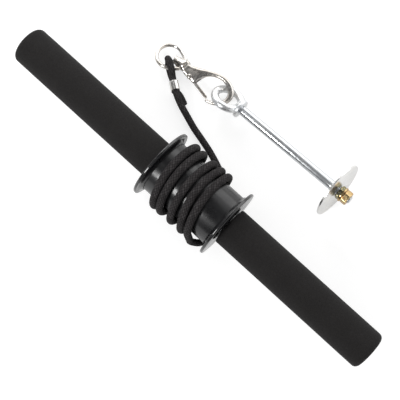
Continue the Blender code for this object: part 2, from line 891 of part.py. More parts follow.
def loft_mesh(name, rings):
    """A closed skin over rings of points that all have the same count."""
    mesh = bpy.data.meshes.new(name)
    work = bmesh.new()
    rows = [[work.verts.new(point) for point in ring] for ring in rings]
    count = len(rings[0])
    for row, following in zip(rows, rows[1:]):
        for i in range(count):
            j = (i + 1) % count
            work.faces.new((row[i], row[j], following[j], following[i]))
    work.faces.new(rows[0])
    work.faces.new(list(reversed(rows[-1])))
    bmesh.ops.recalc_face_normals(work, faces=work.faces)
    work.to_mesh(mesh)
    work.free()
    return mesh


def build_snap_body(hook):
    """The cast hook with its swivel stud, gate pocket and rivet hole."""
    rings = [hook_section(*station) for station in hook_stations]
    body = add_part("snap_body", loft_mesh("snap_body", rings), hook, nickel)
    boss_low = -barrel_gap - boss_length
    stud = turned_cutter(
        "swivel_stud",
        [
            (0, cut_past),
            (stud_radius, cut_past),
            (stud_radius, boss_low - clearance),
            (stud_head_radius, boss_low - clearance),
            (stud_head_radius, boss_low - clearance - stud_head * 0.5),
            (stud_head_radius - 0.9 * mm, boss_low - clearance - stud_head),
            (0, boss_low - clearance - stud_head),
        ],
        hook,
        16,
    )
    boolean(body, stud, "UNION")
    half = gate_thickness / 2 + pocket_side
    root = gate_root + pocket_side
    pocket = add_cutter(
        "gate_pocket",
        box_mesh(
            "gate_pocket",
            (pivot.x - root, pivot.y - 12 * mm, -half),
            (pivot.x + 11.5 * mm, pivot.y + root, half),
        ),
        hook,
    )
    head = rivet_head_radius + clearance
    shank = rivet_radius + clearance
    hole = turned_cutter(
        "rivet_hole",
        [
            (0, 8 * mm),
            (head, 8 * mm),
            (head, rivet_seat),
            (shank, rivet_seat),
            (shank, -rivet_seat),
            (head, -rivet_seat),
            (head, -8 * mm),
            (0, -8 * mm),
        ],
        hook,
        14,
        (pivot.x, pivot.y, 0),
        (0, 0, 0),
    )
    boolean(body, pocket)
    boolean(body, hole)


def build_gate(gate_axis):
    """The sprung gate. Its frame is the pivot, with local x along the gate."""
    w = gate_half_width
    root = [
        (gate_root * math.cos(math.radians(a)), gate_root * math.sin(math.radians(a)))
        for a in range(60, 301, 24)
    ]
    outline = root + [
        (7.0 * mm, -w),
        (gate_length - 2.5 * mm, -w),
        (gate_length - 0.3 * mm, -w * 0.7),
        (gate_length, 0),
        (gate_length - 0.3 * mm, w * 0.7),
        (gate_length - 2.5 * mm, w),
        (7.0 * mm, w),
    ]
    curve = flat_curve("gate", [outline], gate_thickness)
    gate = weld_mesh(add_part("gate", curve, gate_axis, nickel))
    slot = add_cutter(
        "gate_slot",
        box_mesh(
            "gate_slot",
            (-gate_root - cut_past, -gate_root - cut_past, -gate_slot / 2),
            (8.5 * mm, gate_root + cut_past, gate_slot / 2),
        ),
        gate_axis,
    )
    hole = turned_cutter(
        "gate_hole",
        rod_profile(rivet_radius + clearance, -gate_thickness, gate_thickness),
        gate_axis,
        12,
        rotation=(0, 0, 0),
    )
    boolean(gate, slot)
    boolean(gate, hole)


def build_rivet(hook):
    low = rivet_seat + clearance
    high = low + rivet_head
    profile = [
        (0, high),
        (rivet_head_radius * 0.6, high - 0.1 * mm),
        (rivet_head_radius, low + 0.2 * mm),
        (rivet_head_radius, low),
        (rivet_radius, low),
        (rivet_radius, -low),
        (rivet_head_radius, -low),
        (rivet_head_radius, -low - 0.2 * mm),
        (rivet_head_radius * 0.6, -high + 0.1 * mm),
        (0, -high),
    ]
    turned("gate_rivet", profile, hook, nickel, 14, False, (pivot.x, pivot.y, 0), (0, 0, 0))


def build_spring(gate_axis):
    """A small torsion spring round the rivet, with one leg along the gate and one on the body."""
    pitch = 2 * spring_wire + 0.12 * mm
    start = -spring_turns * pitch / 2
    points = [Vector((6.8 * mm, -0.4 * mm, start)), Vector((4.2 * mm, -1.4 * mm, start))]
    turns = 8 * spring_turns
    for i in range(turns + 2):
        angle = math.radians(-70 - 45 * i)
        height = start + min(i / turns, 1) * spring_turns * pitch
        points.append(
            Vector((spring_radius * math.cos(angle), spring_radius * math.sin(angle), height))
        )
    points.append(points[-1] + Vector((-1.5 * mm, 0.3 * mm, 0)))
    curve = tube_curve("gate_spring", points, spring_wire, 1)
    add_part("gate_spring", curve, gate_axis, steel)


def build_eye_nut(pin):
    eye = add_part("eye_nut", ring_mesh("eye_nut", eye_ring_radius, eye_section, 40, 12), pin, zinc)
    inner = eye_ring_radius - eye_section
    collar = turned_cutter(
        "eye_collar",
        [
            (0, collar_face),
            (collar_radius - small_edge, collar_face),
            (collar_radius, collar_face - small_edge),
            (collar_radius, collar_face - collar_height),
            (collar_radius - 2.4 * mm, collar_face - collar_height - 1.6 * mm),
            (collar_radius - 4.4 * mm, inner + 0.8 * mm),
            (0, inner + 0.8 * mm),
        ],
        pin,
        28,
    )
    bore = turned_cutter("eye_bore", rod_profile(thread_bore, inner - 2 * cut_past, collar_face + 2 * cut_past), pin, 16)
    boolean(eye, collar, "UNION")
    boolean(eye, bore)


def build_rod(pin):
    """The smooth rod, turned down at both ends for its threads."""
    shoulder = collar_face + neck_length
    start = eye_ring_radius - eye_section + 0.6 * mm
    chamfer = rod_chamfer
    profile = [
        (0, rod_tip),
        (thread_radius - chamfer, rod_tip),
        (thread_radius, rod_tip - chamfer),
        (thread_radius, rod_end),
        (rod_radius - chamfer * 0.5, rod_end),
        (rod_radius, rod_end - chamfer * 0.5),
        (rod_radius, shoulder + chamfer),
        (rod_radius - chamfer, shoulder),
        (thread_radius, shoulder),
        (thread_radius, start + chamfer),
        (thread_radius - chamfer, start),
        (0, start),
    ]
    turned("loading_rod", profile, pin, zinc, 20, closed=False)


def build_disc(pin):
    """The stop disc, which leans a little on its thread. Its bore is broken at both edges."""
    half = disc_thickness / 2
    edge = 0.4 * mm
    wide = disc_bore + disc_bore_chamfer
    profile = [
        (wide, half),
        (disc_radius - edge, half),
        (disc_radius, half - edge),
        (disc_radius, -half + edge),
        (disc_radius - edge, -half),
        (wide, -half),
        (disc_bore, -half + 0.6 * mm),
        (disc_bore, half - 0.6 * mm),
    ]
    lean = math.pi / 2 - math.radians(disc_lean)
    turned(
        "plate_disc",
        profile,
        pin,
        mirror_zinc,
        56,
        location=(disc_centre, 0, 0),
        rotation=disc_rotation(lean),
    )


def disc_rotation(lean):
    """Leans the disc in the upright plane of the rod, whatever the eye's roll is."""
    upright = Matrix.Rotation(math.radians(-eye_roll), 3, "X")
    return (upright @ Euler((0, lean, 0)).to_matrix()).to_euler()


def nut_curve(name, height):
    return flat_curve(name, [circle(nut_corner, 6), circle(thread_bore, 16)], height)


def build_nuts(pin):
    for name, start, height, finish in (
        ("lock_nut", lock_nut_start, lock_nut_height, zinc),
        ("end_nut", end_nut_start, end_nut_height, gold_zinc),
    ):
        add_part(name, nut_curve(name, height), pin, finish, (start + height / 2, 0, 0), along_x)
    low = washer_start
    high = washer_start + washer_thickness
    washer_bore = thread_bore + 0.2 * mm
    profile = [(washer_radius, high), (washer_radius, low), (washer_bore, low), (washer_bore, high)]
    turned("nut_washer", profile, pin, gold_zinc, 24)


clear_scene()
parts = collection("forearm_trainer")
cutters = collection("cutters")

foam = material("foam", (0.022, 0.020, 0.019), 0.9)
plug_plastic = material("plug_plastic", (0.05, 0.05, 0.05), 0.5)
gloss_plastic = material("gloss_plastic", (0.012, 0.012, 0.014), 0.12)
steel = material("steel", (0.55, 0.55, 0.56), 0.35, 1.0)
braid = material("braid", (0.026, 0.024, 0.022), 0.85)
ferrule_metal = material("ferrule_metal", (0.82, 0.80, 0.77), 0.22, 1.0)
nickel = material("nickel", (0.70, 0.67, 0.63), 0.16, 1.0)
zinc = material("zinc", (0.80, 0.82, 0.84), 0.2, 1.0)
mirror_zinc = material("mirror_zinc", (0.88, 0.89, 0.90), 0.08, 1.0)
gold_zinc = material("gold_zinc", (0.80, 0.60, 0.28), 0.28, 1.0)

layout_empty = empty("layout", None, (0, -middle_y, 0))
roller_place = Vector((0, 0, flange_radius))
roller_empty = empty("roller", layout_empty, roller_place)
build_bar(roller_empty)
build_spool(roller_empty)
lead_start, lead_direction = build_winding(roller_empty)
build_lead(layout_empty, roller_place, lead_start, lead_direction)
build_loop(layout_empty)
build_ferrule(layout_empty)

swivel_empty = empty("swivel", layout_empty, hook_place, hook_rotation(ring_roll))
build_swivel_eye(swivel_empty)
hook_empty = empty("hook", layout_empty, hook_place, hook_rotation(hook_roll))
build_snap_body(hook_empty)
build_rivet(hook_empty)
gate_empty = empty("gate_axis", hook_empty, (*pivot, 0), (0, 0, math.radians(gate_angle)))
build_gate(gate_empty)
build_spring(gate_empty)

pin_empty = empty(
    "pin", layout_empty, (eye_x, pin_y, eye_height), (math.radians(eye_roll), -pin_pitch, 0)
)
build_eye_nut(pin_empty)
build_rod(pin_empty)
build_disc(pin_empty)
build_nuts(pin_empty)

for part in parts.objects:
    if part.type == "MESH":
        part.data.shade_smooth()
        part.data.set_sharp_from_angle(angle=math.radians(35))
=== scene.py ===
from itertools import product
from math import copysign, cos, degrees, exp, pi, radians, sin

import bmesh
import bpy
import numpy as np
from mathutils import Euler, Matrix, Quaternion, Vector


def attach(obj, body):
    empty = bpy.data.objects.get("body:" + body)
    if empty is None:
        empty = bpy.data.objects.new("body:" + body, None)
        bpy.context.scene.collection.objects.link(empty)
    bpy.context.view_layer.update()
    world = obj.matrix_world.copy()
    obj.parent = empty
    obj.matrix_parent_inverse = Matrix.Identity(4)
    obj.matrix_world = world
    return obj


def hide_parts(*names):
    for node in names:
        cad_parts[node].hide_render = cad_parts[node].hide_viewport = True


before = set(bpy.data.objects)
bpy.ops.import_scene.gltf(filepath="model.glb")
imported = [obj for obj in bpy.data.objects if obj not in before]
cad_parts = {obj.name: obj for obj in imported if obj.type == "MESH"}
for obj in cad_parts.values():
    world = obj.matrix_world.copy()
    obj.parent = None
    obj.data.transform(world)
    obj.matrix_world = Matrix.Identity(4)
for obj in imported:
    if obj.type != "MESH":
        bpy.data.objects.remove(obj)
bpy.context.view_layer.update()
mm = 0.001
fullTurn = 2 * pi
print("stage: frame loaded")


# Places shared with the part: the bar's axis, the hook, its gate and the pin
places = {
    "shift": (0, -45.6, 0),
    "bar": (0, 0, 37.5),
    "hook": (-99.8, 95.6, 8.6),
    "hookAngles": (12, -3.6, 9),
    "swivelAngles": (-12, -3.6, 9),
    "pivot": (10.2, -6.7, 0),
    "gateTurn": -20.6,
    "pin": (-43.4, 98.7, 12.614),
    "pinAngles": (-36, -6.7304, 0),
    "disc": (144.737, 0, 0),
    "discRoll": 36,
    "discLean": 5,
    "ferrule": (-93.0, 72.0, 8.55),
    "loopTip": (-117.6, 88.7),
}


def frameAt(place, angles=(0, 0, 0)):
    turn = Euler([radians(a) for a in angles]).to_matrix().to_4x4()
    return Matrix.Translation(Vector(place) * mm) @ turn


def turned(angle, axis):
    return Matrix.Rotation(radians(angle), 4, axis)


layoutFrame = frameAt(places["shift"])
barFrame = layoutFrame @ frameAt(places["bar"])
hookFrame = layoutFrame @ frameAt(places["hook"], places["hookAngles"])
swivelFrame = layoutFrame @ frameAt(places["hook"], places["swivelAngles"])
gateFrame = hookFrame @ frameAt(places["pivot"], (0, 0, places["gateTurn"]))
pinFrame = layoutFrame @ frameAt(places["pin"], places["pinAngles"])
discTurn = turned(places["discRoll"], "X") @ turned(-places["discLean"], "Y")
discFrame = pinFrame @ frameAt(places["disc"]) @ discTurn
noTurn, mirrorX, zToX = Matrix.Identity(4), turned(180, "Z"), turned(-90, "Y")
rivetFrame = hookFrame @ frameAt(places["pivot"]) @ zToX


# Objects in the scene, and the camera at the photo's angle
def newObject(name, data):
    made = bpy.data.objects.new(name, data)
    bpy.context.scene.collection.objects.link(made)
    return made


def placeFacing(made, place, back, roll=0):
    made.location = place
    made.rotation_mode = "QUATERNION"
    aimed = back.to_track_quat("Z", "Y")
    made.rotation_quaternion = aimed @ Quaternion((0, 0, 1), radians(roll))


camera = {
    "target": (0.0089, -0.0461, 0.0375),
    "azimuth": 42.58,
    "elevation": 80.29,
    "distance": 0.8775,
    "lens": 81.69,
    "sensor": 36,
    "clip": (0.02, 30),
}
lens = bpy.data.cameras.new("photoLens")
lens.lens = camera["lens"]
lens.sensor_width = camera["sensor"]
lens.clip_start, lens.clip_end = camera["clip"]
viewer = newObject("photoCamera", lens)
azimuth, elevation = radians(camera["azimuth"]), radians(camera["elevation"])
flat = cos(elevation)
back = Vector((sin(azimuth) * flat, -cos(azimuth) * flat, sin(elevation)))
placeFacing(viewer, Vector(camera["target"]) + back * camera["distance"], back)
bpy.context.scene.camera = viewer
bpy.context.scene.view_settings.view_transform = "Standard"
print("stage: camera")


# Nodes: a socket given as a value is linked, and colours are given as three numbers
class Net:
    def __init__(self, tree):
        self.tree = tree

    def feed(self, node, values):
        for name, value in values.items():
            socket = node.inputs[name]
            if isinstance(value, bpy.types.NodeSocket):
                self.tree.links.new(value, socket)
            else:
                socket.default_value = (*value, 1) if socket.type == "RGBA" else value
        return node

    def add(self, kind, values=None, **settings):
        node = self.tree.nodes.new(kind)
        for name, value in settings.items():
            setattr(node, name, value)
        return self.feed(node, values or {})

    def use(self, group, vector, **values):
        return self.add("ShaderNodeGroup", {"Vector": vector, **values}, node_tree=group).outputs

    def math(self, operation, *values, clamp=False):
        inputs = dict(enumerate(values))
        return self.add("ShaderNodeMath", inputs, operation=operation, use_clamp=clamp).outputs[0]

    def times(self, a, b, clamp=False):
        return self.math("MULTIPLY", a, b, clamp=clamp)

    def plus(self, a, b, clamp=False):
        return self.math("ADD", a, b, clamp=clamp)

    def larger(self, a, b):
        return self.math("MAXIMUM", a, b)

    def ramp(self, value, low, high, toLow=0.0, toHigh=1.0):
        limits = {"From Min": low, "From Max": high, "To Min": toLow, "To Max": toHigh}
        return self.add("ShaderNodeMapRange", {"Value": value, **limits}).outputs["Result"]

    def mix(self, factor, a, b):
        return self.add("ShaderNodeMix", {0: factor, 6: a, 7: b}, data_type="RGBA").outputs[2]

    def noise(self, vector, **values):
        return self.add("ShaderNodeTexNoise", {"Vector": vector, **values}).outputs["Fac"]

    def grain(self, vector, scale, detail, **more):
        return self.use(grainGroup, vector, Scale=scale, Detail=detail, **more)["Value"]

    def attribute(self, name):
        return self.add("ShaderNodeAttribute", attribute_name=name).outputs["Fac"]

    def bump(self, height, strength, distance):
        values = {"Height": height, "Strength": strength, "Distance": distance}
        return self.add("ShaderNodeBump", values).outputs["Normal"]


# Shader groups that the materials share: each function fills the tree that takes its name
def shaderGroup(name, *outputs, **inputs):
    def fill(build):
        tree = bpy.data.node_groups.new(name, "ShaderNodeTree")
        sockets = [("INPUT", "Vector", "Vector", None)]
        for socketName, value in inputs.items():
            kind = "Float" if isinstance(value, float) else {3: "Vector", 4: "Color"}[len(value)]
            sockets.append(("INPUT", socketName, kind, value))
        for output in outputs:
            sockets.append(("OUTPUT", output, "Color" if output == "Color" else "Float", None))
        for way, socketName, kind, value in sockets:
            kind = "NodeSocket" + kind
            made = tree.interface.new_socket(name=socketName, in_out=way, socket_type=kind)
            if value is not None:
                made.default_value = value
        net = Net(tree)
        net.add("NodeGroupOutput", build(net, net.add("NodeGroupInput").outputs))
        return tree

    return fill


@shaderGroup("fineGrain", "Value", Scale=2000.0, Detail=3.0, Stretch=(1.0, 1.0, 1.0))
def grainGroup(net, given):
    vectors = {0: given["Vector"], 1: given["Stretch"]}
    stretched = net.add("ShaderNodeVectorMath", vectors, operation="MULTIPLY").outputs[0]
    look = {"Scale": given["Scale"], "Detail": given["Detail"], "Roughness": 0.6}
    return {"Value": net.noise(stretched, **look)}


@shaderGroup("edgeWear", "Mask", Radius=0.0004, Breakup=600.0, Strength=1.0)
def wearGroup(net, given):
    bevel = net.add("ShaderNodeBevel", {"Radius": given["Radius"]}, samples=4).outputs["Normal"]
    normals = {0: bevel, 1: net.add("ShaderNodeNewGeometry").outputs["Normal"]}
    facing = net.add("ShaderNodeVectorMath", normals, operation="DOT_PRODUCT").outputs["Value"]
    breaks = net.noise(given["Vector"], Scale=given["Breakup"], Detail=4.0, Roughness=0.65)
    worn = net.times(net.ramp(facing, 0.995, 0.93), net.ramp(breaks, 0.35, 0.62), clamp=True)
    return {"Mask": net.times(worn, given["Strength"], clamp=True)}


@shaderGroup("settledDust", "Mask", Scale=900.0, Amount=0.3)
def dustGroup(net, given):
    normal = net.add("ShaderNodeTexCoord").outputs["Normal"]
    upward = net.add("ShaderNodeSeparateXYZ", {0: normal}).outputs["Z"]
    specks = net.noise(given["Vector"], Scale=given["Scale"], Detail=5.0, Roughness=0.7)
    patches = net.noise(given["Vector"], Scale=45.0, Detail=2.0)
    laid = net.times(net.ramp(upward, 0.1, 0.95), net.ramp(specks, 0.52, 0.72))
    laid = net.times(laid, net.ramp(patches, 0.35, 0.7))
    return {"Mask": net.times(laid, given["Amount"], clamp=True)}


@shaderGroup("hairScratches", "Mask", Scale=300.0, Width=0.03)
def scratchGroup(net, given):
    lines = []
    for turn, stretch in ((0.5, 0.05), (1.9, 0.07), (2.7, 0.04)):
        values = {"Rotation": (turn, turn * 0.6, turn * 1.3), "Scale": (1.0, stretch, 1.0)}
        mapped = net.add("ShaderNodeMapping", {"Vector": given["Vector"], **values})
        noise = net.noise(mapped.outputs["Vector"], Scale=given["Scale"], Detail=1.0)
        away = net.math("ABSOLUTE", net.math("SUBTRACT", noise, 0.5))
        lines.append(net.math("LESS_THAN", away, net.times(given["Width"], 0.12)))
    return {"Mask": net.larger(net.larger(lines[0], lines[1]), lines[2])}


@shaderGroup("braidYarn", "Height", "Tone", Scale=1.0)
def yarnGroup(net, given):
    waves = []
    for slant in (0.6, -0.6):
        values = {"Vector": given["Vector"], "Rotation": (0.0, 0.0, slant)}
        mapped = net.add("ShaderNodeMapping", values).outputs["Vector"]
        values = {"Vector": mapped, "Scale": 700.0, "Distortion": 1.5, "Detail": 1.0}
        waves.append(net.add("ShaderNodeTexWave", values).outputs["Fac"])
    values = {0: net.attribute("strandSide"), 2: waves[0], 3: waves[1]}
    chosen = net.add("ShaderNodeMix", values, data_type="FLOAT").outputs[0]
    fuzz = net.noise(given["Vector"], Scale=2600.0, Detail=3.0)
    height = net.times(net.plus(chosen, net.times(fuzz, 0.8)), given["Scale"])
    return {"Height": height, "Tone": net.ramp(fuzz, 0.3, 0.7)}


@shaderGroup(
    "platingTint", "Color", Scale=60.0, Strength=0.5, Base=(0.8, 0.8, 0.8, 1.0),
    Warm=(0.8, 0.7, 0.6, 1.0), Cool=(0.7, 0.75, 0.85, 1.0),
)
def tintGroup(net, given):
    look = {"Detail": 3.0, "Roughness": 0.55, "Distortion": 0.6}
    clouds = net.noise(given["Vector"], Scale=given["Scale"], **look)
    tint = given["Base"]
    for name, limit in (("Warm", 0.72), ("Cool", 0.28)):
        share = net.times(net.ramp(clouds, 0.5, limit), given["Strength"])
        tint = net.mix(share, tint, given[name])
    return {"Color": tint}


print("stage: shader groups")


# Materials: foam, cord, plastics and platings
def newMaterial(name, build, *given, **extra):
    made = bpy.data.materials.new(name)
    made.use_nodes = True
    net = Net(made.node_tree)
    look = build(net, net.add("ShaderNodeTexCoord").outputs["Object"], *given, **extra)
    net.feed(net.tree.nodes["Principled BSDF"], look)
    return made


def foam(net, where):
    pores = net.add("ShaderNodeTexVoronoi", {"Vector": where, "Scale": 2300.0, "Randomness": 1.0})
    cells = net.grain(where, 1400.0, 5.0)
    blotches = net.grain(where, 55.0, 3.0)
    dust = net.use(dustGroup, where, Scale=2600.0, Amount=0.22)["Mask"]
    base = net.mix(blotches, (0.0130, 0.0120, 0.0118), (0.0194, 0.0179, 0.0177))
    # Painted shade: where the cells noise makes the bump lowest, in the pits, the colour goes
    # darker
    pitted = net.mix(net.ramp(cells, 0.35, 0.65), (0.0085, 0.0078, 0.0076), base)
    height = net.plus(net.ramp(pores.outputs["Distance"], 0.0, 0.45), net.times(cells, 1.4))
    return {
        "Base Color": net.mix(dust, pitted, (0.060, 0.056, 0.053)),
        "Roughness": net.ramp(cells, 0.3, 0.7, 0.99, 0.84),
        "Normal": net.bump(height, 0.55, 0.00016),
        "Specular IOR Level": 0.22,
        "Sheen Weight": 0.04,
        "Sheen Roughness": 0.5,
    }


def braidedYarn(net, where):
    unwrapped = net.add("ShaderNodeUVMap", uv_map="along").outputs["UV"]
    yarn = net.use(yarnGroup, unwrapped)
    blotches = net.grain(where, 160.0, 3.0)
    dust = net.use(dustGroup, where, Scale=3200.0, Amount=0.1)["Mask"]
    # Painted shade: where a strand sinks below its crossing neighbour the colour goes near-black,
    # and the cord's end caps take that dark too
    crown = net.ramp(net.attribute("strandHeight"), 0.48, 0.98)
    lightness = net.attribute("strandTone")
    strand = net.mix(lightness, (0.0300, 0.0274, 0.0282), (0.0640, 0.0590, 0.0602))
    valleyShaded = net.mix(crown, (0.0022, 0.0020, 0.0020), strand)
    uneven = net.mix(net.ramp(blotches, 0.3, 0.7, 0.0, 0.2), valleyShaded, (0.019, 0.0175, 0.018))
    fibred = net.mix(net.times(yarn["Tone"], 0.1), uneven, (0.050, 0.046, 0.046))
    return {
        "Base Color": net.mix(dust, fibred, (0.11, 0.10, 0.095)),
        "Roughness": net.ramp(yarn["Tone"], 0.0, 1.0, 0.62, 0.88),
        "Normal": net.bump(yarn["Height"], 0.5, 0.00006),
        "Specular IOR Level": 0.08,
        "Sheen Weight": 0.02,
        "Sheen Roughness": 0.4,
    }


def gloss(net, where, base, roughness, dustAmount, coat=0.0, coatRoughness=0.19):
    peel = net.grain(where, 420.0, 2.0)
    smudge = net.grain(where, 70.0, 4.0)
    scratch = net.use(scratchGroup, where, Scale=260.0, Width=0.05)["Mask"]
    dust = net.use(dustGroup, where, Scale=2400.0, Amount=dustAmount)["Mask"]
    wear = net.use(wearGroup, where, Radius=0.0005, Breakup=900.0, Strength=0.5)["Mask"]
    worn = net.mix(wear, base, tuple(0.045 + 1.2 * c for c in base))
    polish = net.ramp(smudge, 0.3, 0.75, roughness * 0.7, roughness * 1.7)
    scuffed = net.plus(polish, net.times(scratch, 0.12))
    return {
        "Base Color": net.mix(dust, worn, (0.13, 0.125, 0.12)),
        "Roughness": net.plus(scuffed, net.times(dust, 0.6), clamp=True),
        "Normal": net.bump(peel, 0.05, 0.00006),
        "IOR": 1.33,
        "Coat Weight": coat,
        "Coat Roughness": coatRoughness,
    }


def plated(
    net, where, base, warm, cool, roughness, waviness, tintScale=60.0, tint=0.5,
    grainStretch=(1.0, 1.0, 1.0), relief=0.12, metal=1.0, marks=1.0,
):
    colours = {"Base": base, "Warm": warm, "Cool": cool}
    shade = net.use(tintGroup, where, Scale=tintScale, Strength=tint, **colours)["Color"]
    waves = net.grain(where, 240.0, 2.0)
    grain = net.grain(where, 2600.0, 4.0, Stretch=grainStretch)
    smudge = net.grain(where, 110.0, 4.0)
    scratch = net.use(scratchGroup, where, Scale=330.0, Width=0.05)["Mask"]
    wear = net.use(wearGroup, where, Radius=0.0004, Breakup=1100.0, Strength=0.6)["Mask"]
    speckle = net.ramp(grain, 0.62, 0.72, 0.0, 0.35 * marks)
    pitted = net.mix(speckle, shade, tuple(0.55 * c for c in base))
    polish = net.ramp(smudge, 0.3, 0.72, roughness * 0.75, roughness * 1.35)
    height = net.plus(net.times(waves, waviness), grain)
    return {
        "Base Color": net.mix(wear, pitted, tuple(min(1.0, 1.12 * c) for c in base)),
        "Metallic": metal,
        "Roughness": net.plus(polish, net.times(scratch, 0.14 * marks), clamp=True),
        "Normal": net.bump(height, relief, 0.00004),
    }


foamMaterial = newMaterial("foamRubber", foam)
braidMaterial = newMaterial("cordBraid", braidedYarn)
black = (0.0056, 0.0056, 0.0064)
glossMaterial = newMaterial("spoolPlastic", gloss, black, 0.30, 0.06, 0.55)
flangeMaterial = newMaterial("flangePlastic", gloss, black, 0.24, 0.06, 0.85, 0.07)
plugMaterial = newMaterial("plugPlastic", gloss, (0.03, 0.03, 0.03), 0.4, 0.1)

# Platings: base, warm and cool tints, roughness and waviness, then what differs in some
platings = {
    "castNickel": ((0.62, 0.59, 0.55), (0.63, 0.55, 0.47), (0.53, 0.53, 0.55), 0.22, 1.4),
    "paleNickel": ((0.68, 0.65, 0.61), (0.70, 0.62, 0.54), (0.60, 0.60, 0.61), 0.2, 1.2),
    "brightZinc": ((0.80, 0.81, 0.82), (0.80, 0.78, 0.74), (0.75, 0.78, 0.81), 0.30, 1.0),
    # The lock nut's plating: yellow zinc darkened, with near-black patches, as painted shade
    # between the disc and the washer
    "olivePlating": ((0.24, 0.22, 0.13), (0.42, 0.36, 0.17), (0.06, 0.06, 0.06), 0.22, 1.5),
    "turnedZinc": ((0.70, 0.72, 0.74), (0.72, 0.71, 0.69), (0.65, 0.68, 0.74), 0.22, 0.1),
    "discZinc": ((0.86, 0.855, 0.84), (0.87, 0.85, 0.79), (0.82, 0.83, 0.84), 0.22, 1.0),
    "yellowZinc": ((0.56, 0.39, 0.19), (0.44, 0.24, 0.10), (0.38, 0.35, 0.19), 0.19, 1.5),
    "ferruleMetal": ((0.80, 0.78, 0.75), (0.80, 0.74, 0.66), (0.72, 0.74, 0.76), 0.2, 2.5),
    "plainSteel": ((0.52, 0.52, 0.53), (0.50, 0.46, 0.42), (0.46, 0.48, 0.52), 0.33, 1.0),
}
turnedLook = {"grainStretch": (1, 0.05, 0.05), "tint": 0.3, "relief": 0.03, "marks": 0.3}
special = {
    "paleNickel": {"metal": 0.95},
    "brightZinc": {"metal": 0.82},
    "olivePlating": {"tintScale": 420.0, "tint": 1.0},
    "turnedZinc": {"metal": 0.85, **turnedLook},
    "yellowZinc": {"tintScale": 170.0, "tint": 0.9},
}
metals = {}
for metalName, look in platings.items():
    metals[metalName] = newMaterial(metalName, plated, *look, **special.get(metalName, {}))
print("stage: materials")


# Mesh helpers: sizes are in mm, corners in metres, and each piece is placed by its own frame
def mendMesh(mesh, weld):
    work = bmesh.new()
    work.from_mesh(mesh)
    if weld:
        bmesh.ops.remove_doubles(work, verts=work.verts, dist=1e-7)
    bmesh.ops.recalc_face_normals(work, faces=work.faces)
    work.to_mesh(mesh)
    work.free()


def newPiece(name, corners, faces, frameMatrix=noTurn):
    mesh = bpy.data.meshes.new(name)
    mesh.from_pydata([tuple(c) for c in corners], [], faces)
    mesh.validate()
    mendMesh(mesh, True)
    mesh.transform(frameMatrix)
    return newObject(name, mesh)


def finishPiece(piece, body, material, replaced, sharp=32):
    piece.data.materials.clear()
    piece.data.materials.append(material)
    piece.data.shade_smooth()
    piece.data.set_sharp_from_angle(angle=radians(sharp))
    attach(piece, body)
    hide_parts(*replaced)
    return piece


def gridFaces(rows, columns, wrapRows=False):
    faces = []
    for i in range(rows if wrapRows else rows - 1):
        low, high = i * columns, (i + 1) % rows * columns
        for j in range(columns):
            k = (j + 1) % columns
            faces.append((low + j, low + k, high + k, high + j))
    return faces


def cappedFaces(rows, columns):
    start, last = rows * columns, (rows - 1) * columns
    pairs = [(j, (j + 1) % columns) for j in range(columns)]
    faces = gridFaces(rows, columns) + [(start, k, j) for j, k in pairs]
    return faces + [(start + 1, last + j, last + k) for j, k in pairs]


def circle(count):
    return np.linspace(0, fullTurn, count, endpoint=False)


def roundAxis(x, radius, a):
    return np.stack([x, radius * np.cos(a), radius * np.sin(a)], axis=-1).reshape(-1, 3) * mm


def rounded(profile, closed, cuts=4):
    made = []
    count = len(profile)
    for i, (x, r, fillet) in enumerate(profile):
        if not fillet or (not closed and i in (0, count - 1)):
            made.append((x, r))
            continue
        corner = Vector((x, r))
        before = Vector(profile[i - 1][:2]) - corner
        after = Vector(profile[(i + 1) % count][:2]) - corner
        start = corner + before.normalized() * min(fillet, before.length * 0.49)
        end = corner + after.normalized() * min(fillet, after.length * 0.49)
        for t in [k / cuts for k in range(cuts + 1)]:
            made.append(tuple(start * (1 - t) ** 2 + corner * (2 * t * (1 - t)) + end * t**2))
    return made


def lathe(name, profile, steps, frameMatrix, closed=False):
    line = np.array(rounded([(*p, 0)[:3] for p in profile], closed))
    x, a = np.meshgrid(line[:, 0], circle(steps), indexing="ij")
    faces = gridFaces(len(line), steps, closed)
    return newPiece(name, roundAxis(x, line[:, 1:], a), faces, frameMatrix)


def cylinder(name, high, low, radius, steps, frameMatrix):
    return lathe(name, [(high, 0), (high, radius), (low, radius), (low, 0)], steps, frameMatrix)


def block(name, corners, frameMatrix):
    faces = [(0, 1, 3, 2), (4, 6, 7, 5), (0, 4, 5, 1), (2, 3, 7, 6), (0, 2, 6, 4), (1, 5, 7, 3)]
    return newPiece(name, [[c * mm for c in corner] for corner in corners], faces, frameMatrix)


def evaluatedMesh(made):
    bpy.context.view_layer.update()
    depsgraph = bpy.context.evaluated_depsgraph_get()
    return bpy.data.meshes.new_from_object(made.evaluated_get(depsgraph))


def carve(base, cutters, unions=()):
    for operation, others in (("UNION", unions), ("DIFFERENCE", cutters)):
        for other in others:
            step = base.modifiers.new(operation.lower(), "BOOLEAN")
            step.operation = operation
            step.object = other
            step.solver = "EXACT"
    made = evaluatedMesh(base)
    name = base.name
    for used in [base, *cutters, *unions]:
        bpy.data.objects.remove(used, do_unlink=True)
    return newObject(name, made)


# Rows of points: unit vectors, tangents, and the length along them
def unit(rows):
    return rows / np.linalg.norm(rows, axis=1)[:, None]


def tangentsOf(points):
    return unit(np.gradient(points, axis=0))


def lengthsAlong(points):
    return np.concatenate([[0], np.cumsum(np.linalg.norm(np.diff(points, axis=0), axis=1))])


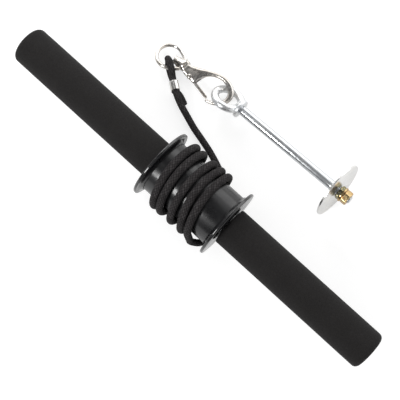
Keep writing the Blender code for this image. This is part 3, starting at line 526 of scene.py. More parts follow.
def smoothRoute(knots, step, fine=24):
    knots = [Vector(k) for k in knots]
    padded = [2 * knots[0] - knots[1], *knots, 2 * knots[-1] - knots[-2]]
    dense = []
    for a, b, c, d in zip(padded, padded[1:], padded[2:], padded[3:]):
        t1 = (b - a).length ** 0.5
        t2 = t1 + (c - b).length ** 0.5
        t3 = t2 + (d - c).length ** 0.5
        for i in range(fine):
            t = t1 + (t2 - t1) * i / fine
            ab, bc = a.lerp(b, t / t1), b.lerp(c, (t - t1) / (t2 - t1))
            cd = c.lerp(d, (t - t2) / (t3 - t2))
            start, end = ab.lerp(bc, t / t2), bc.lerp(cd, (t - t1) / (t3 - t1))
            dense.append(start.lerp(end, (t - t1) / (t2 - t1)))
    route = np.array([tuple(p) for p in [*dense, knots[-1]]])
    lengths = lengthsAlong(route)
    stations = np.linspace(0, lengths[-1], max(2, round(lengths[-1] / step)) + 1)
    return np.stack([np.interp(stations, lengths, route[:, axis]) for axis in range(3)], axis=1)


def carriedUps(points, first):
    up = np.array(first, float)
    ups = []
    for tangent in tangentsOf(points):
        up = up - tangent * (up @ tangent)
        up /= np.linalg.norm(up)
        ups.append(up.copy())
    return np.array(ups)


# Braided cord: its strands are in the mesh, and its yarn is in the material
braid = {
    "strands": 8,
    "lay": 3.6,
    "depth": 0.34,
    "around": 44,
    "step": 0.56,
    "seed": 11,
    "bulge": 0.62,
    "weave": 0.38,
    "roundness": 0.94,
    "cap": 1.1,
    "capClosed": 0.9,
    "capHeight": 0.3,
}


def braidedTube(name, nodes, points, ups, halfAcross, halfUp, around=braid["around"]):
    tangents = tangentsOf(points)
    sides = unit(np.cross(tangents, ups))
    ups = np.cross(sides, tangents)
    along = lengthsAlong(points)
    s, a = np.meshgrid(along, circle(around), indexing="ij")
    phase, travel = braid["strands"] * a / fullTurn, s / (braid["lay"] * mm)
    draws = np.random.default_rng(braid["seed"]).random((2, braid["strands"]))
    heights, tones = [], []
    for draw, way in zip(draws, (1, -1)):
        own, other = phase + way * travel, phase - way * travel
        number = np.floor(own)
        over = way * np.sin(pi * other) * np.where(number % 2 == 0, 1, -1)
        bulge = np.sqrt(1 - braid["roundness"] * (2 * (own - number) - 1) ** 2)
        heights.append(braid["bulge"] * bulge + braid["weave"] * over)
        tones.append(draw[number.astype(int) % braid["strands"]])
    upper = heights[0] > heights[1]
    height = np.clip(np.maximum(*heights), 0, 1)
    sink = braid["depth"] * mm * (1 - height)
    ends = np.clip(np.minimum(along, along[-1] - along) / (braid["cap"] * mm), 0, 1)
    cap = np.sqrt(1 - (1 - ends) ** 2 * braid["capClosed"])[:, None]
    across = (halfAcross * mm - sink) * cap * np.cos(a)
    upward = (halfUp * mm - sink) * cap * np.sin(a)
    rings = points[:, None] + sides[:, None] * across[..., None] + ups[:, None] * upward[..., None]
    corners = [*rings.reshape(-1, 3).tolist(), tuple(points[0]), tuple(points[-1])]
    faces = cappedFaces(len(points), around)
    mesh = bpy.data.meshes.new(name)
    mesh.from_pydata(corners, [], faces)
    tone = np.where(upper, *tones)
    for kind, values in (("Height", height), ("Tone", tone), ("Side", upper)):
        attribute = mesh.attributes.new("strand" + kind, "FLOAT", "POINT")
        values = np.concatenate([values.ravel(), [braid["capHeight"]] * 2])
        attribute.data.foreach_set("value", values.astype(np.float32))
    unwrapTube(mesh, faces, s, a * halfUp * mm, fullTurn * halfUp * mm)
    mendMesh(mesh, False)
    made = finishPiece(newObject(name, mesh), "roller", braidMaterial, nodes, sharp=60)
    return made, along[-1]


def unwrapTube(mesh, faces, along, across, girth):
    flat = np.stack([along, across], axis=-1).reshape(-1, 2)
    flat = np.concatenate([flat, [[0, 0], [along[-1, 0], 0]]])
    corners = flat[np.concatenate(faces)]
    owner = np.repeat(np.arange(len(faces)), [len(face) for face in faces])
    highest = np.zeros(len(faces))
    np.maximum.at(highest, owner, corners[:, 1])
    wraps = (highest[owner] > 0.6 * girth) & (corners[:, 1] < 0.04 * girth)
    corners[wraps, 1] += girth
    layer = mesh.uv_layers.new(name="along")
    layer.data.foreach_set("uv", corners.astype(np.float32).ravel())


# Wound cord: its turns pass the drum's far side, top and near side this far from the left flange
winding = {
    "flangeInner": 42,
    "drum": 29,
    "radius": 3.8,
    "across": 3.92,
    "gap": 0.3,
    "slack": 1.1,
    "anchorAngle": -50,
    "anchor": 12.5,
    "lip": 1.5,
    "bend": 5.5,
    "settles": 65,
    "stride": 15,
    "endAngle": 1632,
    "overshoot": 20,
    "farSide": [14.1, 24.1, 37.8, 47.9, 57.0],
    "top": [13.7, 22.4, 36.2, 46.2, 56.4],
    "nearSide": [20.8, 29.4, 43.2, 56.4, 66.2],
    "strays": 3.4,
    "leaves": (3.5, 7.0),
    "upBlend": 20,
}
anchorX = winding["anchor"] - winding["flangeInner"]


def alongBar(angle):
    stations = [(winding["anchorAngle"], winding["anchor"])]
    for turn, crossings in enumerate(zip(winding["farSide"], winding["top"], winding["nearSide"])):
        stations += [(360 * turn + 90 * quarter, x) for quarter, x in enumerate(crossings)]
    end = winding["endAngle"] + winding["overshoot"]
    stations.append((end, winding["nearSide"][-1] + winding["strays"]))
    slopes = []
    for i in range(len(stations)):
        before, after = stations[max(i - 1, 0)], stations[min(i + 1, len(stations) - 1)]
        slopes.append((after[1] - before[1]) / (after[0] - before[0]))
    for i, ((a, xa), (b, xb)) in enumerate(zip(stations, stations[1:])):
        if angle <= b:
            t, span = (angle - a) / (b - a), b - a
            low = (2 * t**3 - 3 * t**2 + 1) * xa + (t**3 - 2 * t**2 + t) * slopes[i] * span
            high = (3 * t**2 - 2 * t**3) * xb + (t**3 - t**2) * slopes[i + 1] * span
            return low + high - winding["flangeInner"]
    return stations[-1][1] - winding["flangeInner"]


def roundDrum(angle, radius, x):
    a = radians(angle)
    return Vector((x, radius * cos(a), radius * sin(a)))


def windingKnots():
    holeTop = winding["drum"] + winding["lip"]
    start, radius, bend = winding["anchorAngle"], winding["radius"], winding["bend"]
    depths = [2 * radius * (1 - step / 2) for step in range(3)]
    knots = [roundDrum(start, holeTop - depth, anchorX) for depth in depths]
    outward, sideways = roundDrum(start, 1, 0), roundDrum(start + 90, 1, 0)
    for a in np.radians((30, 60, 90)).tolist():
        knots.append(knots[2] + bend * (outward * sin(a) + sideways * (1 - cos(a))))
    bent = holeTop + bend
    coil = winding["drum"] + radius + winding["gap"]
    begun = start + degrees(bend / bent)
    for step in range(1, int((winding["endAngle"] - begun) / winding["stride"]) + 1):
        angle = begun + step * winding["stride"]
        ease = 0.5 - 0.5 * cos(pi * min(1, (angle - begun) / winding["settles"]))
        slack = winding["slack"] * cos(radians(angle)) ** 2
        knots.append(roundDrum(angle, bent + (coil - bent) * ease + slack, alongBar(angle)))
    direction = (knots[-1] - knots[-2]).normalized()
    return knots + [knots[-1] + direction * far for far in winding["leaves"]]


knots = windingKnots()
woundRoute = smoothRoute([barFrame @ (k * mm) for k in knots], braid["step"] * mm)
outwards = woundRoute - np.array(barFrame.translation)
outwards[:, 0] = 0
outwards = unit(outwards)
blend = winding["upBlend"]
blendStart = np.clip((np.arange(len(outwards)) - blend) / blend, 0, 1)[:, None]
woundUps = outwards * blendStart + np.array([1.0, 0, 0]) * (1 - blendStart)
halves = winding["across"], winding["radius"]
woundLength = braidedTube("woundCord", ["cord_winding"], woundRoute, woundUps, *halves)[1]
print(f"stage: winding, {woundLength:.3f} m of cord")


# Swivel eye: a cast ring that runs into a boss, bored for the hook's stud
eye = {
    "centre": -19.4,
    "radius": 13.4,
    "wire": 2,
    "opens": 62,
    "leg": (-3.4, 6.6),
    "gap": 0.6,
    "boss": 9.2,
    "barrel": 6.3,
    "stud": 2.4,
    "studHead": 3.9,
    "headHeight": 1.6,
}

# Free cord: off the drum, under it, along the table, through the ferrule and the ring, and back
free = {
    "radius": 3.5,
    "across": 3.7,
    "table": 3.9,
    "upper": 12.2,
    "lower": 4.9,
    "run": 5.0,
    "reach": 6.1,
    "strays": [2.6, 4.5, 5.6],
    "sway": 0.8,
    "course": [
        (34.0, -29.6, 11.4),
        (36.0, -24.5, 6.6),
        *((36.4, -16.0), (36.2, -6.0), (34.5, 4.5), (30.0, 14.5), (23.2, 23.4), (14.3, 31.0)),
        *((3.4, 37.4), (-8.7, 42.6), (-22.0, 47.2), (-36.1, 50.9)),
        (-49.8, 54.2, 4.4),
        (-61.8, 57.9, 6.6),
        (-74.1, 61.8, 10.0),
        (-83.3, 65.8, 11.9),
    ],
}


def freeRoute():
    start = Vector(knots[-1]) + Vector(places["bar"])
    direction = (Vector(knots[-1]) - Vector(knots[-2])).normalized()
    ferrule, tip = Vector(places["ferrule"][:2]), Vector(places["loopTip"])
    onward = (tip - ferrule).normalized()
    aside = Vector((onward.y, -onward.x))
    opens, radius = radians(-eye["opens"]), eye["radius"]
    wireEnd = Vector((eye["centre"] + radius * cos(opens), radius * sin(opens), 0))
    ringPoint = (layoutFrame.inverted() @ (swivelFrame @ (wireEnd * mm))) / mm
    toWire, wireZ = (ringPoint.xy - ferrule).dot(onward), ringPoint.z
    toTip = (tip - ferrule).length
    over, under = wireZ + free["reach"], wireZ - free["reach"]
    low, upper, lower, sway = free["table"], free["upper"], free["lower"], free["sway"]
    lead = [start, start + direction * 3, start + direction * 7 + Vector((0.6, 0.2, 0))]
    lead += [(*place, low)[:3] for place in free["course"]]
    sideView = [
        (-free["run"], upper, 0), (free["run"], upper, 0), (11, upper + 1.0, sway * 0.4),
        (toWire - 5.5, over - 0.4, sway), (toWire, over + 0.3, sway),
        (toWire + 4.6, over - 0.8, sway), (toTip - 1.6, wireZ + 3.6, 0), (toTip, wireZ, 0),
        (toTip - 1.6, wireZ - 3.4, 0), (toWire + 4.6, under + 0.4, -sway),
        (toWire, under, -sway), (toWire - 6, under, -sway * 0.8), (8, lower - 0.3, 0),
        (4.6, lower, 0), (-4.6, lower, 0),
        *zip((-8, -14, -20.5), (lower - 0.1, lower - 0.7, low), free["strays"]),
    ]
    loop = [(*(ferrule + onward * far + aside * stray), z) for far, z, stray in sideView]
    return smoothRoute([layoutFrame @ (Vector(p) * mm) for p in lead + loop], braid["step"] * mm)


freePath = freeRoute()
freeUps = carriedUps(freePath, (1, 0, 0))
nodes, halves = ["cord_lead", "cord_loop"], (free["across"], free["radius"])
cordPiece, freeLength = braidedTube("freeCord", nodes, freePath, freeUps, *halves)
print(f"stage: free cord, {freeLength:.3f} m")


# Knot inside the drum, pulled tight against the tube
knot = {"radius": 2.9, "half": (7.0, 8.0, 4.7), "middle": 17.7, "samples": 150, "around": 24}
t = np.linspace(0, fullTurn, knot["samples"])
trefoil = [np.sin(t) + 2 * np.sin(2 * t), np.cos(t) - 2 * np.cos(2 * t), -np.sin(3 * t)]
trefoil = np.stack(trefoil, axis=1)
room = (np.array(knot["half"]) - knot["radius"]) / np.abs(trefoil).max(axis=0)
knotPlace = frameAt(roundDrum(winding["anchorAngle"], knot["middle"], anchorX))
knotFrame = barFrame @ knotPlace @ turned(winding["anchorAngle"] - 90, "X")
knotRoute = np.array([tuple(knotFrame @ (Vector(p) * mm)) for p in trefoil[:-6] * room])
knotUps = carriedUps(knotRoute, (0.3, 0.4, 0.8))
halves = knot["radius"], knot["radius"]
braidedTube("cordKnot", ["cord_knot"], knotRoute, knotUps, *halves, knot["around"])
print("stage: knot")


# Foam sleeves with a closed, domed end
grip = {
    "end": 226,
    "crown": [(0, 0), (0.04, 3), (0.18, 6.5), (0.45, 10), (0.85, 13)],
    "radius": 20,
    "dome": 1.2,
    "edge": 5,
    "innerEdge": 1.6,
    "start": 46.3,
    "bore": 12.8,
    "wall": 220,
    "around": 96,
    "softness": 0.0022,
}


def gripLine():
    end, start, radius = grip["end"], grip["start"], grip["radius"]
    edge, inner, bore = grip["edge"], grip["innerEdge"], grip["bore"]
    middle = end - grip["dome"] - edge
    line = [(end - depth, r) for depth, r in grip["crown"]]
    for a in np.radians(np.linspace(4, 90, 12)):
        line.append((middle + edge * cos(a), radius - edge * (1 - sin(a))))
    line += [(x, radius) for x in np.linspace(middle - 2.5, start + 4, 64)]
    for a in np.radians(np.linspace(0, 90, 7)):
        line.append((start + inner * (1 - sin(a)), radius - inner * (1 - cos(a))))
    return np.array(line + [(start, bore), (grip["wall"], bore), (grip["wall"], 0)])


def makeGrip(name, turnBy, node, seed):
    line = gripLine()
    phases = np.random.default_rng(seed).random(6) * 6.28
    x, a = np.meshgrid(line[:, 0], circle(grip["around"]), indexing="ij")
    soft = np.sin(2 * a + x * 0.021 + phases[0]) + np.sin(3 * a - x * 0.043 + phases[1])
    soft += 0.7 * np.sin(x * 0.09 + phases[2])
    radius = line[:, 1:] * (1 - grip["softness"] * (1 + soft / 2.7))
    faces = gridFaces(len(line), grip["around"])
    made = newPiece(name, roundAxis(x, radius, a), faces, barFrame @ turnBy)
    finishPiece(made, "roller", foamMaterial, [node], sharp=45)


makeGrip("foamSleeveRight", noTurn, "grip_right", seed=3)
makeGrip("foamSleeveLeft", mirrorX, "grip_left", seed=4)
print("stage: foam sleeves")


# Spool: drum with screw bosses, two flanges with hub and lip, countersunk screws
spool = {
    "drum": 29,
    "wall": 2.5,
    "half": 41.7,
    "outer": 45,
    "inner": 42,
    "flange": 37.5,
    "hub": 16,
    "bore": 12.8,
    "collar": 46,
    "sleeves": {"left": 4.5, "right": 14},
    "boss": 3.9,
    "bossCircle": 23.4,
    "screwHole": 1.9,
    "cordHole": 4.4,
    "head": 3.4,
    "pinAt": (35, 0, 0),
    "pinHalf": 17.5,
    "pinHole": 2.3,
}
bossAngles = [i * 2 * pi / 3 for i in range(3)]
bossSpots = [(spool["bossCircle"] * cos(a), spool["bossCircle"] * sin(a)) for a in bossAngles]


def makeDrum():
    outer, inner, half = spool["drum"], spool["drum"] - spool["wall"], spool["half"]
    profile = [(half, outer, 0.3), (half, inner, 0.3), (-half, inner, 0.3), (-half, outer, 0.3)]
    shell = lathe("spoolDrum", profile, 160, barFrame, True)
    bosses, holes = [], []
    for y, z in bossSpots:
        spot = barFrame @ frameAt((0, y, z))
        bosses.append(cylinder("boss", half, -half, spool["boss"], 28, spot))
        holes.append(cylinder("pilot", half + 1, -half - 1, spool["screwHole"], 20, spot))
    toHole = barFrame @ frameAt((anchorX, 0, 0))
    toHole = toHole @ turned(winding["anchorAngle"], "X") @ turned(90, "Z")
    holes.append(cylinder("anchorHole", outer + 2.5, outer - 5, spool["cordHole"], 36, toHole))
    finishPiece(carve(shell, holes, bosses), "roller", glossMaterial, ["spool_drum"])


def makeFlange(side, turnBy):
    outer, inner, hub, bore = spool["outer"], spool["inner"], spool["hub"], spool["bore"]
    lip, sleeve, collar = spool["drum"] + 0.3, inner - spool["sleeves"][side], spool["collar"]
    profile = [
        (collar, hub, 0.35), (outer, hub, 0.3), (outer, spool["flange"], 1.3),
        (inner, spool["flange"], 1.0), (inner, lip + 4.3, 1.0), (inner - 1.54, lip + 1.7, 0.8),
        (inner - 2.8, lip + 0.78, 0.2), (inner - 2.8, lip, 0.1), (inner, lip),
        (inner, hub, 0.5), (sleeve, hub, 0.4), (sleeve, bore, 0.2), (collar, bore, 0.3),
    ]
    body = lathe("flange" + side.title(), profile, 168, barFrame @ turnBy, True)
    hole, head = spool["screwHole"], spool["head"] + 1
    sink = [(outer + 1, 0), (outer + 1, head), (outer - 1.5, hole), (inner - 1, hole)]
    sink.append((inner - 1, 0))
    spots = [barFrame @ frameAt((0, y, z)) @ turnBy for y, z in bossSpots]
    holes = [lathe("sink", sink, 32, spot) for spot in spots]
    if side == "right":
        upright, half = barFrame @ frameAt(spool["pinAt"]) @ zToX, spool["pinHalf"]
        holes.append(cylinder("pinHole", half, -half, spool["pinHole"], 24, upright))
    finishPiece(carve(body, holes), "roller", flangeMaterial, ["flange_" + side])


makeDrum()
makeFlange("left", mirrorX)
makeFlange("right", noTurn)
print("stage: spool")


# Threads are cut as a helical groove that fades out at both ends of each zone
def threadedSolid(name, stations, steps, pitch, depth, zones, frameMatrix, density=9):
    line = []
    for (xa, ra), (xb, rb) in zip(stations, stations[1:]):
        near, far = min(xa, xb) + 1e-6, max(xa, xb) - 1e-6
        inZone = any(low <= near and far <= high for low, high in zones)
        count = max(1, round(abs(xb - xa) / pitch * density)) if inZone else 1
        for k in range(count):
            line.append((xa + (xb - xa) * k / count, ra + (rb - ra) * k / count))
    line = np.array([*line, stations[-1]], float)
    x, a = np.meshgrid(line[:, 0], circle(steps), indexing="ij")
    phase = (x / pitch - a / fullTurn) % 1
    groove = np.clip(1.35 - 2.7 * np.abs(phase - 0.5) - 0.18, 0, 1)
    inside = np.zeros_like(x)
    for low, high in zones:
        fade = np.clip(np.minimum(x - low, high - x) / (0.6 * pitch), 0, 1)
        inside = np.maximum(inside, fade)
    radius = np.maximum(line[:, 1:] - depth * groove * inside, 0)
    radius[line[:, 1] == 0] = 0
    return newPiece(name, roundAxis(x, radius, a), gridFaces(len(line), steps), frameMatrix)


# Screws: one countersunk screw with a cross recess, set in all six places by Geometry Nodes
screw = {
    "headTop": 44.9,
    "head": 3.1,
    "shank": 1.6,
    "length": 12,
    "pitch": 1.1,
    "thread": 0.36,
    "taper": 2.2,
    "recess": ((0.3, 1.75), (-1.5, 0.5)),
    "slot": 0.42,
    "turnSpread": 1.5,
    "seed": 5,
}


def oneScrew():
    head, shank, taper, end = screw["head"], screw["shank"], screw["taper"], -screw["length"]
    stations = [
        (0, 0), (0, head - 0.25), (-0.12, head), (-0.3, head), (-1.8, shank),
        (-taper, shank), (end + taper, shank), (end + 1.6, shank * 0.9), (end, 0),
    ]
    pitch, zones = screw["pitch"], [(end + taper, -taper)]
    made = threadedSolid("screwForm", stations, 36, pitch, screw["thread"], zones, noTurn)
    thin, slots = screw["slot"], []
    for angle in (20, 110):
        rows = [(x, y) for x, wide in screw["recess"] for y in (-wide, wide)]
        corners = [(x, y, z) for x, y in rows for z in (-thin, thin)]
        slots.append(block("recess", corners, turned(angle, "X")))
    return carve(made, slots)


def screwTree():
    tree = bpy.data.node_groups.new("screwPlaces", "GeometryNodeTree")
    for name, way, kind in (
        ("Places", "INPUT", "Geometry"),
        ("Screw", "INPUT", "Object"),
        ("Turn Spread", "INPUT", "Float"),
        ("Finish", "INPUT", "Material"),
        ("Screws", "OUTPUT", "Geometry"),
    ):
        tree.interface.new_socket(name=name, in_out=way, socket_type="NodeSocket" + kind)
    net = Net(tree)
    given = net.add("NodeGroupInput").outputs
    form = net.add("GeometryNodeObjectInfo", {"Object": given["Screw"]}).outputs["Geometry"]
    facing = net.add(
        "GeometryNodeInputNamedAttribute", {"Name": "facing"}, data_type="FLOAT_VECTOR"
    ).outputs["Attribute"]
    aimed = net.add("FunctionNodeAlignRotationToVector", {"Vector": facing}, axis="X")
    spread = {3: given["Turn Spread"], "Seed": screw["seed"]}
    chance = net.add("FunctionNodeRandomValue", spread, data_type="FLOAT").outputs[1]
    turn = net.add("ShaderNodeCombineXYZ", {"X": chance}).outputs["Vector"]
    values = {"Points": given["Places"], "Instance": form, "Rotation": aimed.outputs["Rotation"]}
    placed = net.add("GeometryNodeInstanceOnPoints", values).outputs["Instances"]
    spun = net.add("GeometryNodeRotateInstances", {"Instances": placed, "Rotation": turn})
    real = net.add("GeometryNodeRealizeInstances", {"Geometry": spun.outputs["Instances"]})
    values = {"Geometry": real.outputs["Geometry"], "Material": given["Finish"]}
    painted = net.add("GeometryNodeSetMaterial", values).outputs["Geometry"]
    net.add("NodeGroupOutput", {"Screws": painted})
    return tree


def makeScrews():
    form = oneScrew()
    spots = [(side * screw["headTop"], y, z) for side in (-1, 1) for y, z in bossSpots]
    mesh = bpy.data.meshes.new("flangeScrews")
    mesh.from_pydata([barFrame @ (Vector(s) * mm) for s in spots], [], [])
    facing = mesh.attributes.new("facing", "FLOAT_VECTOR", "POINT")
    sides = [c for s in spots for c in (copysign(1, s[0]), 0, 0)]
    facing.data.foreach_set("vector", sides)
    holder = newObject("flangeScrewPoints", mesh)
    modifier = holder.modifiers.new("screws", "NODES")
    modifier.node_group = screwTree()
    steel = metals["plainSteel"]
    given = {"Screw": form, "Turn Spread": screw["turnSpread"], "Finish": steel}
    for item in modifier.node_group.interface.items_tree:
        if item.name in given:
            modifier[item.identifier] = given[item.name]
    made = evaluatedMesh(holder)
    for used in (holder, form):
        bpy.data.objects.remove(used, do_unlink=True)
    nodes = [f"flange_screw_{side}_{i}" for side in ("left", "right") for i in (1, 2, 3)]
    finishPiece(newObject("flangeScrews", made), "roller", steel, nodes)


makeScrews()
print("stage: screws")


# Ferrule: an oval sleeve, pressed in along two lines on each flat side
ferrule = {
    "length": 9.5,
    "bore": 3.9,
    "wall": 0.7,
    "spacing": 7.3,
    "press": 0.28,
    "lines": 1.9,
    "lineWidth": 0.75,
    "around": 72,
}


def makeFerrule():
    onward = (Vector(places["loopTip"]) - Vector(places["ferrule"][:2])).normalized()
    along, up = Vector((*onward, 0)), Vector((0, 0, 1))
    across = up.cross(along)
    half, length, bore = ferrule["spacing"] / 2, ferrule["length"] / 2, ferrule["bore"]
    rows = [(-length, 0.25, 0), (-length + 0.12, 0.08, 0), (-length + 0.4, 0, 0)]
    for x in np.linspace(-length + 0.8, length - 0.8, 30).tolist():
        rows.append((x, 0, exp(-(((abs(x) - ferrule["lines"]) / ferrule["lineWidth"]) ** 2))))
    rows += [(-x, shrink, press) for x, shrink, press in rows[2::-1]]
    rings = [(x, bore + ferrule["wall"] - shrink, press) for x, shrink, press in rows]
    rings += [(x, bore + shrink * 0.5, press) for x, shrink, press in reversed(rows)]
    corners = []
    for x, radius, press in rings:
        for a in circle(ferrule["around"]):
            stand = half if sin(a) >= 0 else -half
            side, height = radius * cos(a), stand + radius * sin(a)
            side *= 1 - ferrule["press"] * press * 0.12 * (1 - min(1, abs(height) / half) ** 2)
            corners.append((along * x + across * side + up * height) * mm)
    faces = gridFaces(len(rings), ferrule["around"], True)
    made = newPiece("ferruleSleeve", corners, faces, layoutFrame @ frameAt(places["ferrule"]))
    finishPiece(made, "roller", metals["ferruleMetal"], ["cord_ferrule"], sharp=50)


makeFerrule()
print("stage: ferrule")


# Rings of the swivel eye and the eye nut: a round wire swept along a closed line
def sweptRing(name, points, radius, around, frameMatrix):
    corners, up = [], Vector((0, 0, 1))
    for i, point in enumerate(points):
        tangent = (points[(i + 1) % len(points)] - points[i - 1]).normalized()
        side = up.cross(tangent)
        for a in circle(around):
            corner = point + side * radius * cos(a) + Vector((0, 0, radius * sin(a)))
            corners.append(corner * mm)
    return newPiece(name, corners, gridFaces(len(points), around, True), frameMatrix)


def makeSwivelEye():
    opens, centre, radius = eye["opens"], eye["centre"], eye["radius"]
    arc = np.radians(np.linspace(opens, 360 - opens, 92)).tolist()
    line = [Vector((centre + radius * cos(a), radius * sin(a), 0)) for a in arc]
    legX, legY = eye["leg"]
    start, end = Vector((legX, -legY, 0)), Vector((legX, legY, 0))
    line += [line[-1].lerp(start, t) for t in (0.25, 0.5, 0.75)]
    line += [Vector((legX, y, 0)) for y in np.linspace(-legY, legY, 14)]
    line += [end.lerp(line[0], t) for t in (0.25, 0.5, 0.75)]
    count = len(line)
    smooth = [(line[i - 1] + line[i] * 2 + line[(i + 1) % count]) / 4 for i in range(count)]
    ring = sweptRing("swivelEye", smooth, eye["wire"], 32, swivelFrame)
    high, low = -eye["gap"], -eye["gap"] - eye["boss"]
    profile = [
        (high, 0), (high, eye["barrel"], 0.7), (high - 1.8, eye["barrel"], 0.8),
        (low + 1, eye["studHead"] + 1.1, 0.5), (low, eye["studHead"] + 0.6, 0.3), (low, 0),
    ]
    boss = lathe("eyeBoss", profile, 96, swivelFrame)
    bore = cylinder("eyeBore", high + 1, low - 1, eye["stud"] + 0.3, 40, swivelFrame)
    room = cylinder("eyeRoom", low, low - 3.6, eye["studHead"] + 0.3, 48, swivelFrame)
    made = carve(ring, [bore, room], [boss])
    finishPiece(made, "swivel_eye", metals["paleNickel"], ["swivel_eye"])


makeSwivelEye()
print("stage: swivel eye")


# Snap hook: centre line from barrel to nose as place, heading, half width and half thickness
hook = {
    "stations": [
        (0.0, 0.0, 0, 6.0, 6.0),
        (2.0, -0.4, -4, 5.9, 5.9),
        (3.6, -2.0, -6, 5.6, 5.0),
        (10.2, -2.35, 0, 7.1, 4.7),
        (16.9, -2.2, 2, 8.7, 4.4),
        (19.6, 1.0, 6, 6.3, 4.0),
        (22.8, 4.1, 12, 4.0, 3.6),
        (27.4, 6.7, 14, 2.75, 3.2),
        (33.8, 8.6, 8, 2.4, 3.0),
        (40.4, 9.2, -4, 2.5, 3.0),
        (45.6, 8.1, -20, 2.8, 3.0),
        (50.2, 5.9, -34, 3.1, 3.0),
        (54.0, 2.6, -52, 3.2, 3.0),
        (56.3, -1.6, -74, 3.15, 3.0),
        (56.4, -6.4, -96, 2.9, 2.9),
        (54.4, -10.7, -120, 2.6, 2.8),
        (50.8, -14.2, -141, 2.4, 2.6),
        (46.2, -16.8, -155, 2.2, 2.5),
        (41.6, -18.3, -167, 1.8, 2.3),
        (38.2, -18.8, -173, 1.5, 2.1),
        (36.4, -18.8, -175, 1.0, 1.5),
    ],
    "fine": 7,
    "around": 48,
    "pocket": {"half": 2.5, "root": 3.6, "depth": 12, "front": 11.5},
    "rivet": 1.6,
    "rivetHead": 2.5,
    "seat": 3.6,
}


def throughKnots(values, fine):
    values = np.array(values, float)
    padded = [2 * values[0] - values[1], *values, 2 * values[-1] - values[-2]]
    made = []
    for a, b, c, d in zip(padded, padded[1:], padded[2:], padded[3:]):
        for t in [k / fine for k in range(fine)]:
            curve = (2 * a - 5 * b + 4 * c - d) * t**2 + (3 * b - a - 3 * c + d) * t**3
            made.append(0.5 * (2 * b + (c - a) * t + curve))
    return [*made, values[-1]]


def hookForm():
    rows = throughKnots(hook["stations"], hook["fine"])
    corners = []
    for x, y, heading, wide, thick in rows:
        a = radians(heading)
        across = Vector((-sin(a), cos(a), 0))
        flat = 0.55 + 0.35 * min(1, max(0, (x - 20) / 12))
        for t in circle(hook["around"]):
            w = copysign(abs(cos(t)) ** flat, cos(t)) * wide
            h = copysign(abs(sin(t)) ** flat, sin(t)) * thick
            corners.append((Vector((x, y, 0)) + across * w + Vector((0, 0, h))) * mm)
    corners += [Vector((x, y, 0)) * mm for x, y in (rows[0][:2], rows[-1][:2] - (0.5, 0))]
    return newPiece("snapHook", corners, cappedFaces(len(rows), hook["around"]), hookFrame)


def makeHook():
    body = hookForm()
    under = -eye["gap"] - eye["boss"] - 0.3
    stud = [
        (1, 0), (1, eye["stud"]), (under, eye["stud"]), (under, eye["studHead"], 0.2),
        (under - eye["headHeight"], eye["studHead"] - 0.3, 0.7), (under - eye["headHeight"], 0),
    ]
    shaft = lathe("hookStud", stud, 48, hookFrame)
    px, py = places["pivot"][:2]
    slot = hook["pocket"]
    xs, ys = (px - slot["root"], px + slot["front"]), (py - slot["depth"], py + slot["root"])
    sides = product(xs, ys, (-slot["half"], slot["half"]))
    pocket = block("hookPocket", sides, hookFrame)
    head, shank, seat = hook["rivetHead"] + 0.3, hook["rivet"] + 0.3, hook["seat"]
    line = [(8, 0), (8, head), (seat, head), (seat, shank)]
    hole = lathe("rivetHole", mirrored(line), 40, rivetFrame)
    made = carve(body, [pocket, hole], [shaft])
    finishPiece(made, "snap_body", metals["castNickel"], ["snap_body"], sharp=38)


def mirrored(line):
    return [*line, *[(-x, r) for x, r in reversed(line)]]


def makeRivet():
    low, high = hook["seat"] + 0.3, hook["seat"] + 1.2
    head, shank = hook["rivetHead"], hook["rivet"]
    line = [(high, 0), (high - 0.05, head * 0.45), (high - 0.25, head * 0.8)]
    line += [(low + 0.25, head), (low, head), (low, shank)]
    made = lathe("gateRivet", mirrored(line), 40, rivetFrame)
    finishPiece(made, "snap_body", metals["castNickel"], ["gate_rivet"], sharp=60)


makeHook()
makeRivet()
print("stage: snap hook")


# Gate with its slot for the spring, and the spring round the rivet
gate = {
    "length": 28.0,
    "half": 1.6,
    "root": 3.2,
    "thickness": 4.2,
    "slot": 2.8,
    "slotEnd": 8.5,
    "hole": 1.9,
    "wire": 0.3,
    "coil": 2.3,
    "turns": 3,
}


def makeGate():
    root, w, thick = gate["root"], gate["half"], gate["thickness"] / 2
    nose = gate["length"] - w
    turns = np.radians(np.linspace(62, 298, 34)).tolist()
    outline = [(root * cos(a), root * sin(a)) for a in turns]
    outline += [(x, -w) for x in np.linspace(4.5, nose, 20).tolist()]
    turns = np.radians(np.linspace(-80, 80, 11)).tolist()
    outline += [(nose + w * cos(a), w * sin(a)) for a in turns]
    outline += [(x, w) for x in np.linspace(nose, 4.5, 20).tolist()]
    insets = [(thick, 0.62), (thick - 0.12, 0.3), (thick - 0.4, 0.08), (thick - 0.8, 0)]
    layers = [(-z, inset) for z, inset in insets] + insets[::-1]
    count = len(outline)
    corners = []
    for z, inset in layers:
        for i, (x, y) in enumerate(outline):
            edge = Vector(outline[(i + 1) % count]) - Vector(outline[i - 1])
            inward = Vector((edge.y, -edge.x)).normalized()
            if x >= 4:
                inward = Vector((min(0, nose - x), -y)).normalized()
            elif inward.dot(Vector((0 if x > 0 else -x, -y))) < 0:
                inward = -inward
            corners.append(((x + inward.x * inset) * mm, (y + inward.y * inset) * mm, z * mm))
    faces = gridFaces(len(layers), count)
    faces += [tuple(range(count)), tuple(reversed(range(len(corners) - count, len(corners))))]
    body = newPiece("gateBar", corners, faces, gateFrame)
    ys, zs = (-root - 1, root + 1), (-gate["slot"] / 2, gate["slot"] / 2)
    slot = block("gateSlot", product((-root - 1, gate["slotEnd"]), ys, zs), gateFrame)
    hole = cylinder("gateHole", 4, -4, gate["hole"], 32, gateFrame @ zToX)
    made = carve(body, [slot, hole])
    finishPiece(made, "gate", metals["castNickel"], ["gate"], sharp=40)


